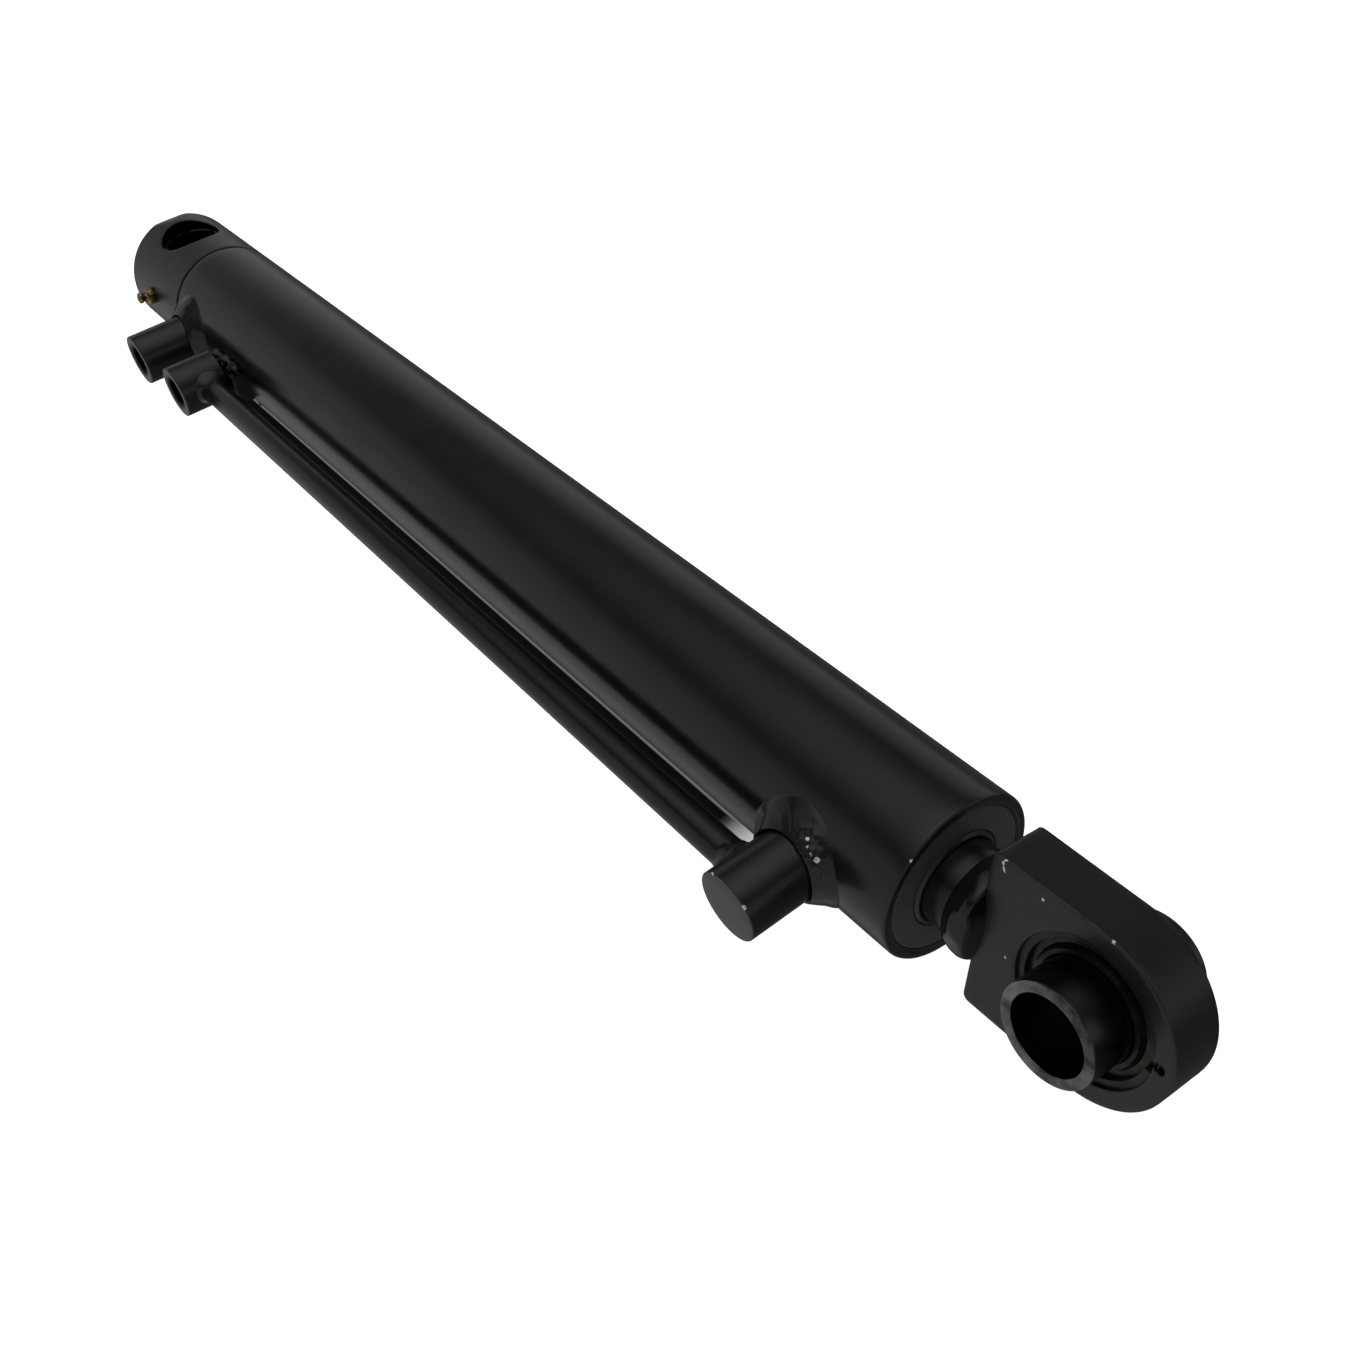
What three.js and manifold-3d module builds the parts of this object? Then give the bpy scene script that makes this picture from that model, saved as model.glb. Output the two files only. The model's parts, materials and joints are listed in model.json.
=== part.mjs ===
// A welded, double-acting hydraulic cylinder, shown fully retracted, in millimetres with +Z up.
// The origin is the middle of the base pin bore. +X runs along the cylinder to the rod eye,
// +Z along the base pin bore, and both port bosses point to -Y.
import * as THREE from "three";
import { mergeVertices } from "three/addons/utils/BufferGeometryUtils.js";
import Module from "manifold-3d";

const wasm = await Module();
wasm.setup();

// Driving dimensions.
const BARREL_R = 38.1;
const BORE_R = 31.75;
const ROD_R = 19.05;
const PIN_R = 16; // both pins
const GAP = 0.3; // between pieces that touch on the real cylinder
const RUNNING = 0.15; // radial clearance of pieces that slide or turn in each other
const ROUND = 32; // sides of the pieces that share the cylinder's axis
const SMALL_ROUND = 24;

// Stations along X.
const LUG_END_X = -32.8;
const SEAM_X = 43.4;
const BASE_PORT_X = 63.4;
const ROD_PORT_X = 119.7;
const ROD_END_BOSS_X = 654.6;
const RIM_X = 703.8;
const EYE_X = 775;

// Base lug.
const SPIGOT_LENGTH = 10;
const LUG_BEVEL = { drop: 1.7, length: 8 }; // flat bevels above and below the lug's end
const BUSH_R = 18.5;
const BUSH_HALF = 31;
const SEAM_HALF = 3; // half width of the weld groove at the surface
const SEAM_DEPTH = 4;
const NIPPLE_TURN = THREE.MathUtils.degToRad(10); // from -Y towards +Z

// Ports, bosses and the tube that feeds the rod side. Reach is measured from the cylinder's axis.
const BOSS_R = 15.7;
const PORT_R = 9.2;
const PORT_MOUTH_R = 11.4;
const DRILLING_R = 5;
const BASE_PORT_REACH = 75.6;
const ROD_PORT_REACH = 74.5;
const ROD_PORT_INNER = 45.7;
const ROD_END_BOSS_REACH = 73.3;
const TUBE_REACH = 56.1;
const TUBE_R = 7.4;
const TUBE_BORE_R = 5.4;
const TUBE_ENTRY = 6; // how far the tube stands in the rod end boss
const BOSS_WELD = { rise: 7, leg: 9 }; // up the boss, and out along the barrel
const TUBE_WELD_LEG = 3;
const BRACKET = { from: -14, to: 22, bottom: -14, top: 6 }; // X from the rod side port, and Z

// Rod eye and its spherical bearing, which are turned about X from the base pin's right angle.
const EYE_TURN = THREE.MathUtils.degToRad(10.4);
const EYE_WIDTH_R = 38.6;
const EYE_THICK = 23.8;
const EYE_NECK = 49.5; // from the eye's centre to the edge that the rod is welded to
const EYE_BORE_R = 30.2;
const RACE_HALF = 8;
const RACE_SPHERE_R = 25.65;
const BALL_SPHERE_R = 25.35;
const BALL_HALF = 10.5;
const SLEEVE_R = 20.7;
const SLEEVE_HALF = 30.6;
const SNAP_RING = { inner: 27.2, outer: 31.6, from: 8.35, to: 10.25, opening: 9 };
const RING_NOTCH = { radius: 2.4, reach: 32.4, z: 1.7, depth: 6 }; // for prising out the near snap ring

// Piston, nut and gland.
const PISTON_X = 72;
const PISTON_LENGTH = 40;
const SPINDLE_R = 14; // the rod's reduced end, inside the piston
const NUT = { from: 57, to: 71.7, across: 20 };
const GLAND_X = 663;
const GLAND_FLANGE_X = 690;
const GLAND_FACE_X = 703.2;
const GLAND_FLANGE_R = 33.2;
const LOCK_RING = { from: 695, to: 697.6, inner: 32, outer: 34.4 };

// Solids.

function toSolid(geometry) {
  const bare = geometry.clone();
  bare.deleteAttribute("normal");
  bare.deleteAttribute("uv");
  const merged = mergeVertices(bare, 1e-3);
  const vertProperties = merged.attributes.position.array;
  const triVerts = new Uint32Array(merged.index.array);
  return new wasm.Manifold(new wasm.Mesh({ numProp: 3, vertProperties, triVerts }));
}

function toGeometry(solid) {
  const { vertProperties, triVerts } = solid.getMesh();
  const geometry = new THREE.BufferGeometry();
  geometry.setAttribute("position", new THREE.BufferAttribute(vertProperties, 3));
  geometry.setIndex(new THREE.BufferAttribute(triVerts, 1));
  geometry.computeVertexNormals();
  return geometry;
}

function cut(geometry, ...tools) {
  return toGeometry(tools.reduce((left, tool) => left.subtract(toSolid(tool)), toSolid(geometry)));
}

function common(geometry, other) {
  return toGeometry(toSolid(geometry).intersect(toSolid(other)));
}

// An outline of [x, radius] points turned about the X axis. It starts and ends on the axis, or it is a
// ring's outline, which closes on itself.
function turned(outline, sides = ROUND) {
  const area = outline.reduce((sum, [x, r], i) => {
    const [nextX, nextR] = outline[(i + 1) % outline.length];
    return sum + (r * nextX - nextR * x) / 2;
  }, 0);
  const ordered = area > 0 ? outline : [...outline].reverse();
  const points = ordered.map(([x, r]) => new THREE.Vector2(r, x));
  if (outline[0][1] > 0) points.push(points[0].clone());
  return new THREE.LatheGeometry(points, sides).rotateZ(-Math.PI / 2);
}

function rod(from, to, radius, sides = ROUND) {
  return turned([[from, 0], [from, radius], [to, radius], [to, 0]], sides);
}

function ring(from, to, inner, outer, sides = ROUND) {
  return turned([[from, outer], [to, outer], [to, inner], [from, inner]], sides);
}

function box([x0, x1], [y0, y1], [z0, z1]) {
  const middle = [(x0 + x1) / 2, (y0 + y1) / 2, (z0 + z1) / 2];
  return new THREE.BoxGeometry(x1 - x0, y1 - y0, z1 - z0).translate(...middle);
}

// A piece turned about X, stood up so that its axis runs from the cylinder's axis to -Y at station x.
function radial(geometry, x) {
  return geometry.rotateZ(-Math.PI / 2).translate(x, 0, 0);
}

function upright(geometry) {
  return geometry.rotateY(-Math.PI / 2);
}

function barrelSpace() {
  return rod(LUG_END_X - 20, RIM_X + 20, BARREL_R + GAP);
}

// Materials: satin black paint outside, bare steel and seal compounds inside.

function finish(color, roughness, metalness) {
  return new THREE.MeshStandardMaterial({ color, roughness, metalness });
}

const paint = () => finish(0x1b1c1d, 0.38, 0.2);
const steel = () => finish(0x8d9094, 0.35, 1);
const darkSteel = () => finish(0x3a3c3f, 0.4, 0.9);
const castIron = () => finish(0x55585b, 0.6, 0.8);
const nylon = () => finish(0x2c4a3a, 0.5, 0);
const polyurethane = () => finish(0x31506e, 0.45, 0);
const nitrile = () => finish(0x141414, 0.7, 0);
const zincYellow = () => finish(0xb79a4a, 0.35, 0.9);

const cylinder = new THREE.Group();

function add(name, material, geometry, group = cylinder) {
  const mesh = new THREE.Mesh(geometry, material);
  mesh.name = name;
  group.add(mesh);
}

// Barrel and base.

function barrelTube() {
  const start = SEAM_X + GAP / 2;
  const groove = [LOCK_RING.from - 0.2, LOCK_RING.to + 0.2];
  const tube = turned([
    [start, BARREL_R - SEAM_DEPTH],
    [SEAM_X + SEAM_HALF, BARREL_R],
    [RIM_X - 1.2, BARREL_R],
    [RIM_X, BARREL_R - 1.2],
    [RIM_X, GLAND_FLANGE_R],
    [groove[1], GLAND_FLANGE_R],
    [groove[1], LOCK_RING.outer + GAP],
    [groove[0], LOCK_RING.outer + GAP],
    [groove[0], GLAND_FLANGE_R],
    [GLAND_FLANGE_X, GLAND_FLANGE_R],
    [GLAND_FLANGE_X, BORE_R],
    [start, BORE_R],
  ]);
  const ports = [BASE_PORT_X, ROD_END_BOSS_X].map((x) =>
    radial(rod(BORE_R - 5, BARREL_R + 5, DRILLING_R, SMALL_ROUND), x),
  );
  return cut(tube, ...ports);
}

function nippleHole() {
  return rod(0, BARREL_R + 5, 4.3, SMALL_ROUND).rotateZ(-Math.PI / 2).rotateX(-NIPPLE_TURN);
}

// The wedges that leave a flat bevel above and below the lug's end.
function lugBevels() {
  const slope = Math.atan2(LUG_BEVEL.drop, LUG_BEVEL.length);
  return [0, Math.PI].map((turn) =>
    box([-40, 40], [-BARREL_R, BARREL_R], [0, 20])
      .rotateY(-slope)
      .translate(LUG_END_X, 0, BARREL_R - LUG_BEVEL.drop)
      .rotateX(turn),
  );
}

function baseLug() {
  const end = SEAM_X - GAP / 2;
  const bar = turned([
    [LUG_END_X, 0],
    [LUG_END_X, BARREL_R - 2],
    [LUG_END_X + 2, BARREL_R],
    [SEAM_X - SEAM_HALF, BARREL_R],
    [end, BARREL_R - SEAM_DEPTH],
    [end, BORE_R - RUNNING],
    [SEAM_X + SPIGOT_LENGTH, BORE_R - RUNNING],
    [SEAM_X + SPIGOT_LENGTH, 0],
  ]);
  const pinBore = upright(rod(-BARREL_R - 5, BARREL_R + 5, BUSH_R + GAP));
  return cut(bar, pinBore, nippleHole(), ...lugBevels());
}

function seamWeld() {
  return turned([
    [SEAM_X - SEAM_HALF + 0.4, BARREL_R - 0.1],
    [SEAM_X + SEAM_HALF - 0.4, BARREL_R - 0.1],
    [SEAM_X, BARREL_R - SEAM_DEPTH + 0.6],
  ]);
}

function greaseNipple() {
  const seat = BARREL_R + GAP;
  const nipple = turned(
    [
      [seat - 12, 0],
      [seat - 12, 4],
      [seat, 4],
      [seat, 5.5],
      [seat + 3, 5.5],
      [seat + 3.6, 3.1],
      [seat + 6.4, 2.6],
      [seat + 7.4, 3.7],
      [seat + 9.4, 3.4],
      [seat + 10.2, 1.6],
      [seat + 10.2, 0],
    ],
    12,
  );
  return nipple.rotateZ(-Math.PI / 2).rotateX(-NIPPLE_TURN);
}

add("barrel_tube", paint(), barrelTube());
add("base_lug", paint(), baseLug());
add("base_pin_bush", steel(), cut(upright(ring(-BUSH_HALF, BUSH_HALF, PIN_R, BUSH_R)), nippleHole()));
add("base_seam_weld", paint(), seamWeld());
add("grease_nipple", zincYellow(), greaseNipple());

// Port bosses and the transfer tube.

function portMouth(reach) {
  return [[reach - 1, BOSS_R], [reach, BOSS_R - 1], [reach, PORT_MOUTH_R], [reach - 2.2, PORT_R]];
}

function basePortBoss() {
  const depth = 26;
  const boss = turned(
    [
      [BORE_R - 10, BOSS_R],
      ...portMouth(BASE_PORT_REACH),
      [BASE_PORT_REACH - depth, PORT_R],
      [BASE_PORT_REACH - depth - 3, DRILLING_R],
      [BORE_R - 10, DRILLING_R],
    ],
    SMALL_ROUND,
  );
  return cut(radial(boss, BASE_PORT_X), barrelSpace());
}

// The tube's seat in a boss: a counterbore for the tube and a drilling on to the boss's middle.
function tubeSeat(bossX, seatX, openX) {
  const seat = turned(
    [
      [bossX, 0],
      [bossX, DRILLING_R],
      [seatX, DRILLING_R],
      [seatX, TUBE_R + GAP],
      [openX, TUBE_R + GAP],
      [openX, 0],
    ],
    SMALL_ROUND,
  );
  return seat.translate(0, -TUBE_REACH, 0);
}

const tubeStartX = ROD_PORT_X + PORT_R + 1;
const tubeEndX = ROD_END_BOSS_X - BOSS_R + TUBE_ENTRY;

function rodPortBoss() {
  const bottom = TUBE_REACH - DRILLING_R;
  const boss = turned(
    [
      [bottom, 0],
      [bottom, PORT_R],
      ...portMouth(ROD_PORT_REACH).reverse(),
      [ROD_PORT_INNER + 1, BOSS_R],
      [ROD_PORT_INNER, BOSS_R - 1],
      [ROD_PORT_INNER, 0],
    ],
    SMALL_ROUND,
  );
  return cut(
    radial(boss, ROD_PORT_X),
    tubeSeat(ROD_PORT_X, tubeStartX - GAP, ROD_PORT_X + BOSS_R + 5),
  );
}

function rodEndBoss() {
  const blindEnd = TUBE_REACH + DRILLING_R;
  const boss = turned(
    [
      [blindEnd, 0],
      [blindEnd, DRILLING_R],
      [BORE_R - 10, DRILLING_R],
      [BORE_R - 10, BOSS_R],
      [ROD_END_BOSS_REACH - 0.6, BOSS_R],
      [ROD_END_BOSS_REACH, BOSS_R - 0.6],
      [ROD_END_BOSS_REACH, 0],
    ],
    SMALL_ROUND,
  );
  return cut(
    radial(boss, ROD_END_BOSS_X),
    barrelSpace(),
    tubeSeat(ROD_END_BOSS_X, tubeEndX + GAP, ROD_END_BOSS_X - BOSS_R - 5),
  );
}

// The fillet round the root of a boss that stands on the barrel.
function bossWeld(x) {
  const top = BARREL_R + BOSS_WELD.rise;
  const outer = BOSS_R + BOSS_WELD.leg;
  const fillet = turned(
    [
      [BORE_R - 10, BOSS_R + GAP],
      [top, BOSS_R + GAP],
      [top - 0.8, BOSS_R + 1.6],
      [BARREL_R + 2.5, outer - 2],
      [BARREL_R, outer],
      [BORE_R - 10, outer],
    ],
    SMALL_ROUND,
  );
  const saddle = rod(x - 40, x + 40, top);
  return cut(common(radial(fillet, x), saddle), barrelSpace());
}

// The fillet round the tube where it enters a boss, on the side that direction (+1 or -1) points to.
function tubeWeld(bossX, direction) {
  const leg = TUBE_WELD_LEG;
  const surface = bossX + direction * BOSS_R;
  const fillet = turned(
    [
      [bossX + direction * 2, TUBE_R + GAP],
      [surface + direction * (leg + 2.5), TUBE_R + GAP],
      [surface + direction * (leg + 2), TUBE_R + 0.9],
      [surface + direction * 0.5, TUBE_R + leg],
      [bossX + direction * 2, TUBE_R + leg],
    ],
    SMALL_ROUND,
  );
  const boss = radial(rod(0, 100, BOSS_R + GAP, SMALL_ROUND), bossX);
  return cut(fillet.translate(0, -TUBE_REACH, 0), boss);
}

// The block that holds the rod side port's boss off the barrel.
const bracketX = [ROD_PORT_X + BRACKET.from, ROD_PORT_X + BRACKET.to];

function rodPortBracket() {
  const block = box(bracketX, [GAP - ROD_PORT_INNER, 0], [BRACKET.bottom, BRACKET.top]);
  return cut(block, barrelSpace());
}

function rodPortBracketWeld() {
  const z = BRACKET.top + GAP;
  const section = new THREE.Shape();
  section.moveTo(ROD_PORT_INNER - 1.5, z);
  section.lineTo(BARREL_R + 1.5, z + 5.5);
  section.lineTo(BARREL_R - 3, z + 5.5);
  section.lineTo(BARREL_R - 3, z);
  const depth = bracketX[1] - bracketX[0];
  const bead = new THREE.ExtrudeGeometry(section, { depth, bevelEnabled: false });
  // The section's x runs to -Y and its y to +Z once the bead lies along X.
  bead.applyMatrix4(
    new THREE.Matrix4().makeBasis(
      new THREE.Vector3(0, -1, 0),
      new THREE.Vector3(0, 0, 1),
      new THREE.Vector3(-1, 0, 0),
    ),
  );
  return cut(bead.translate(bracketX[1], 0, 0), barrelSpace());
}

add("base_port_boss", paint(), basePortBoss());
add("base_port_weld", paint(), bossWeld(BASE_PORT_X));
add("rod_port_boss", paint(), rodPortBoss());
add("rod_port_bracket", paint(), rodPortBracket());
add("rod_port_bracket_weld", paint(), rodPortBracketWeld());
const tube = ring(tubeStartX, tubeEndX, TUBE_BORE_R, TUBE_R, SMALL_ROUND);
add("transfer_tube", paint(), tube.translate(0, -TUBE_REACH, 0));
add("tube_weld_base_end", paint(), tubeWeld(ROD_PORT_X, 1));
add("tube_weld_rod_end", paint(), tubeWeld(ROD_END_BOSS_X, -1));
add("rod_end_boss", paint(), rodEndBoss());
add("rod_end_boss_weld", paint(), bossWeld(ROD_END_BOSS_X));

// Gland: it closes the barrel, guides the rod and carries the rod's seals.

const GUIDE = { from: 667, to: 677, outer: 21.4 };
const ROD_SEAL = { from: 681, to: 688, outer: 24 };
const WIPER = { from: 697, to: 704.4, outer: 22 };
const GLAND_SEAL = { from: 672, ring: 5.4, backup: 7.6, inner: 28.2 };
const seatR = ROD_R + GAP;
const glandBodyR = BORE_R - RUNNING;

function gland() {
  const flangeR = GLAND_FLANGE_R - RUNNING;
  return turned([
    [GLAND_X, glandBodyR],
    [GLAND_SEAL.from, glandBodyR],
    [GLAND_SEAL.from, GLAND_SEAL.inner],
    [GLAND_SEAL.from + GLAND_SEAL.backup, GLAND_SEAL.inner],
    [GLAND_SEAL.from + GLAND_SEAL.backup, glandBodyR],
    [GLAND_FLANGE_X + GAP, glandBodyR],
    [GLAND_FLANGE_X + GAP, flangeR],
    [LOCK_RING.from - 0.2, flangeR],
    [LOCK_RING.from - 0.2, LOCK_RING.inner - GAP],
    [LOCK_RING.to + 0.2, LOCK_RING.inner - GAP],
    [LOCK_RING.to + 0.2, flangeR],
    [GLAND_FACE_X, flangeR],
    [GLAND_FACE_X, WIPER.outer],
    [WIPER.from, WIPER.outer],
    [WIPER.from, seatR],
    [ROD_SEAL.to, seatR],
    [ROD_SEAL.to, ROD_SEAL.outer],
    [ROD_SEAL.from, ROD_SEAL.outer],
    [ROD_SEAL.from, seatR],
    [GUIDE.to, seatR],
    [GUIDE.to, GUIDE.outer],
    [GUIDE.from, GUIDE.outer],
    [GUIDE.from, seatR],
    [GLAND_X, seatR],
  ]);
}

// A ring that fills a groove cut in the gland's or the piston's wall, with the usual gap all round.
function grooveRing({ from, to, outer }, inner) {
  return ring(from + GAP, to - GAP, inner, outer - GAP);
}

function splitRing({ from, to, inner, outer, opening = 8 }, angle = 0) {
  const slot = box([from - 5, to + 5], [0, outer + 5], [-opening / 2, opening / 2]);
  return cut(ring(from, to, inner, outer), slot.rotateX(angle));
}

function rodWiper() {
  const runs = ROD_R + RUNNING;
  return turned([
    [WIPER.from + GAP, WIPER.outer - GAP],
    [GLAND_FACE_X, WIPER.outer - GAP],
    [WIPER.to, runs + 0.9],
    [WIPER.to - 0.6, runs],
    [WIPER.from + GAP, runs],
  ]);
}

add("gland", castIron(), gland());
add("gland_lock_ring", darkSteel(), splitRing(LOCK_RING, Math.PI));
const oRing = { from: GLAND_SEAL.from, to: GLAND_SEAL.from + GLAND_SEAL.ring, outer: BORE_R };
add("gland_o_ring", nitrile(), grooveRing(oRing, GLAND_SEAL.inner + GAP));
const backup = { from: oRing.to - GAP, to: GLAND_SEAL.from + GLAND_SEAL.backup, outer: BORE_R };
add("gland_backup_ring", nylon(), grooveRing(backup, GLAND_SEAL.inner + GAP));
add("rod_guide_ring", nylon(), grooveRing(GUIDE, ROD_R + RUNNING));
add("rod_seal", polyurethane(), grooveRing(ROD_SEAL, ROD_R + RUNNING));
add("rod_wiper", polyurethane(), rodWiper());

// Piston and rod.

const WEAR_RINGS = {
  piston_wear_ring_base_end: [3, 11],
  piston_wear_ring_rod_end: [29, 37],
};
const WEAR_GROOVE_R = 28.6;
const PISTON_SEAL = { from: PISTON_X + 15, to: PISTON_X + 25, inner: 25.5 };
const SPINDLE_SEAL = { from: PISTON_X + 18, to: PISTON_X + 22, outer: 16.8 };

function piston() {
  const outer = BORE_R - 0.4;
  const groove = (from, to, inner) => [[from, outer], [from, inner], [to, inner], [to, outer]];
  const [first, last] = Object.values(WEAR_RINGS);
  const bore = SPINDLE_R + GAP;
  return turned([
    [PISTON_X, outer],
    ...groove(PISTON_X + first[0], PISTON_X + first[1], WEAR_GROOVE_R),
    ...groove(PISTON_SEAL.from, PISTON_SEAL.to, PISTON_SEAL.inner),
    ...groove(PISTON_X + last[0], PISTON_X + last[1], WEAR_GROOVE_R),
    [PISTON_X + PISTON_LENGTH, outer],
    [PISTON_X + PISTON_LENGTH, bore],
    [SPINDLE_SEAL.to, bore],
    [SPINDLE_SEAL.to, SPINDLE_SEAL.outer],
    [SPINDLE_SEAL.from, SPINDLE_SEAL.outer],
    [SPINDLE_SEAL.from, bore],
    [PISTON_X, bore],
  ]);
}

function pistonRod() {
  const shoulder = PISTON_X + PISTON_LENGTH + GAP;
  const end = EYE_X - EYE_NECK - GAP;
  return turned([
    [NUT.from - 1, 0],
    [NUT.from - 1, SPINDLE_R - 1],
    [NUT.from, SPINDLE_R],
    [shoulder, SPINDLE_R],
    [shoulder, ROD_R - 1],
    [shoulder + 1, ROD_R],
    [end - 1, ROD_R],
    [end, ROD_R - 1],
    [end, 0],
  ]);
}

function pistonNut() {
  const hexagon = rod(NUT.from, NUT.to, NUT.across, 6);
  return cut(hexagon, rod(NUT.from - 5, NUT.to + 5, SPINDLE_R + GAP));
}

add("piston_rod", steel(), pistonRod());
add("piston", castIron(), piston());
add("piston_nut", darkSteel(), pistonNut());
add("piston_spindle_o_ring", nitrile(), grooveRing(SPINDLE_SEAL, SPINDLE_R + GAP));
const ringR = BORE_R - RUNNING;
for (const [name, [from, to]] of Object.entries(WEAR_RINGS)) {
  const sides = [PISTON_X + from + GAP, PISTON_X + to - GAP];
  add(name, nylon(), ring(...sides, WEAR_GROOVE_R + GAP, ringR));
}
const sealSides = [PISTON_SEAL.from + GAP, PISTON_SEAL.to - GAP];
add("piston_seal", polyurethane(), ring(...sealSides, PISTON_SEAL.inner + GAP, ringR));

// Rod eye. Inside this group -Y is the eye's near face and X = 0 is its centre.

const eye = new THREE.Group();
eye.position.x = EYE_X;
eye.rotation.x = -EYE_TURN;
cylinder.add(eye);

function eyePlate() {
  const outline = new THREE.Shape();
  outline.moveTo(-EYE_NECK, -EYE_WIDTH_R);
  outline.lineTo(0, -EYE_WIDTH_R);
  outline.absarc(0, 0, EYE_WIDTH_R, -Math.PI / 2, Math.PI / 2);
  outline.lineTo(-EYE_NECK, EYE_WIDTH_R);
  outline.closePath();
  const options = { depth: EYE_THICK, bevelEnabled: false, curveSegments: SMALL_ROUND };
  const plate = new THREE.ExtrudeGeometry(outline, options);
  plate.rotateX(Math.PI / 2).translate(0, EYE_THICK / 2, 0);
  const side = GAP / 2;
  const grooves = [-1, 1].map((face) => {
    const ends = [face * (SNAP_RING.from - side), face * (SNAP_RING.to + side)].sort((a, b) => a - b);
    return rod(...ends, SNAP_RING.outer + GAP).rotateZ(-Math.PI / 2);
  });
  const bore = rod(-EYE_THICK, EYE_THICK, EYE_BORE_R).rotateZ(-Math.PI / 2);
  const notch = rod(EYE_THICK / 2 - RING_NOTCH.depth, EYE_THICK, RING_NOTCH.radius, 12)
    .rotateZ(-Math.PI / 2)
    .translate(RING_NOTCH.reach, 0, RING_NOTCH.z);
  return cut(plate, bore, notch, ...grooves);
}

// The bead round the rod's end, which laps on to both faces of the eye plate.
function rodEyeWeld() {
  const edge = -EYE_NECK - GAP;
  const bead = turned([
    [edge - 11, ROD_R + GAP],
    [edge, ROD_R + GAP],
    [edge, EYE_THICK / 2 - 2],
    [edge + 5, EYE_THICK / 2 - 2],
    [edge + 5, ROD_R - 4],
    [edge + 2, ROD_R + 2],
    [edge - 3, ROD_R + 4],
    [edge - 10, ROD_R + 1.6],
  ]);
  const half = EYE_THICK / 2 + GAP;
  return cut(bead, box([edge, edge + 20], [-half, half], [-EYE_WIDTH_R, EYE_WIDTH_R]));
}

// Points along a sphere of the given radius, between two planes across its X axis.
function sphereOutline(radius, from, to, steps = 6) {
  return Array.from({ length: steps + 1 }, (_, i) => {
    const x = from + ((to - from) * i) / steps;
    return [x, Math.sqrt(radius ** 2 - x ** 2)];
  });
}

function outerRace() {
  return turned([
    ...sphereOutline(RACE_SPHERE_R, RACE_HALF, -RACE_HALF),
    [-RACE_HALF, EYE_BORE_R - GAP],
    [RACE_HALF, EYE_BORE_R - GAP],
  ]);
}

function ball() {
  const bore = SLEEVE_R + GAP;
  const outside = sphereOutline(BALL_SPHERE_R, -BALL_HALF, BALL_HALF);
  return turned([...outside, [BALL_HALF, bore], [-BALL_HALF, bore]]);
}

function sleeve() {
  const half = (side) => [
    [side * (SLEEVE_HALF - 0.6), PIN_R],
    [side * SLEEVE_HALF, PIN_R + 0.6],
    [side * SLEEVE_HALF, SLEEVE_R - 1.2],
    [side * (SLEEVE_HALF - 1.2), SLEEVE_R],
  ];
  return turned([...half(-1), ...half(1).reverse()]);
}

const across = (geometry) => geometry.rotateZ(-Math.PI / 2);
add("rod_eye_plate", paint(), eyePlate(), eye);
add("rod_eye_weld", paint(), rodEyeWeld(), eye);
add("bearing_outer_race", darkSteel(), across(outerRace()), eye);
add("bearing_ball", darkSteel(), across(ball()), eye);
add("bearing_sleeve", steel(), across(sleeve()), eye);
const nearRing = splitRing(SNAP_RING);
const farRing = splitRing({ ...SNAP_RING, from: -SNAP_RING.to, to: -SNAP_RING.from });
add("bearing_snap_ring_near", darkSteel(), across(nearRing), eye);
add("bearing_snap_ring_far", darkSteel(), across(farRing), eye);

export default cylinder;
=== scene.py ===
"""A welded hydraulic cylinder with a spherical rod eye, painted satin black, on a white studio floor.

The CAD model gives every place and size. The fine surfaces are made here in its frame and in
millimetres, and become metres when a mesh is made. +X runs from the base pin to the rod eye, +Z is up
and the port bosses point to -Y.
"""

import json
from math import atan2, cos, pi, radians, sin, sqrt, tau

import bmesh
import bpy
import numpy as np
from mathutils import Matrix, Vector


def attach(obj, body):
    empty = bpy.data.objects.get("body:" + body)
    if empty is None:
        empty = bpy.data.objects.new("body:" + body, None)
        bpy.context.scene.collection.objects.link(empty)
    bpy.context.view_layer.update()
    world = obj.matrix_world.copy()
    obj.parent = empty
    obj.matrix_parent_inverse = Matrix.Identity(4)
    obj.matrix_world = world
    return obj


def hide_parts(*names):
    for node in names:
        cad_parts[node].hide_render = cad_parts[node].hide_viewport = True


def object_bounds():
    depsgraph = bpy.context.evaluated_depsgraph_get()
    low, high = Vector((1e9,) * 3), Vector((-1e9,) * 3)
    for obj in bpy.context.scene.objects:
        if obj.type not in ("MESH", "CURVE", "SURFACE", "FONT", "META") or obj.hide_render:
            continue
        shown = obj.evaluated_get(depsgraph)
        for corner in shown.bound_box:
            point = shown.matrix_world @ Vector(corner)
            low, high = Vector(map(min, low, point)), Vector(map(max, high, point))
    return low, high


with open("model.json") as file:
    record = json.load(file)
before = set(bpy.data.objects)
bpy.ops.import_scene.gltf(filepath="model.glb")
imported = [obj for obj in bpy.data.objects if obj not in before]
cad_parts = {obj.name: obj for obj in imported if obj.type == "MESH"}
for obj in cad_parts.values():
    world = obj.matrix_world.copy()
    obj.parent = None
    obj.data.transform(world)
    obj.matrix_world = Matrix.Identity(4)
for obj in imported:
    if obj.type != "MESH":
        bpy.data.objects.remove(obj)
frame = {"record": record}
cad_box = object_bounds()

MM = 0.001
SIDES = 160  # round a large turned piece
SMALL_SIDES = 96

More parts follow.
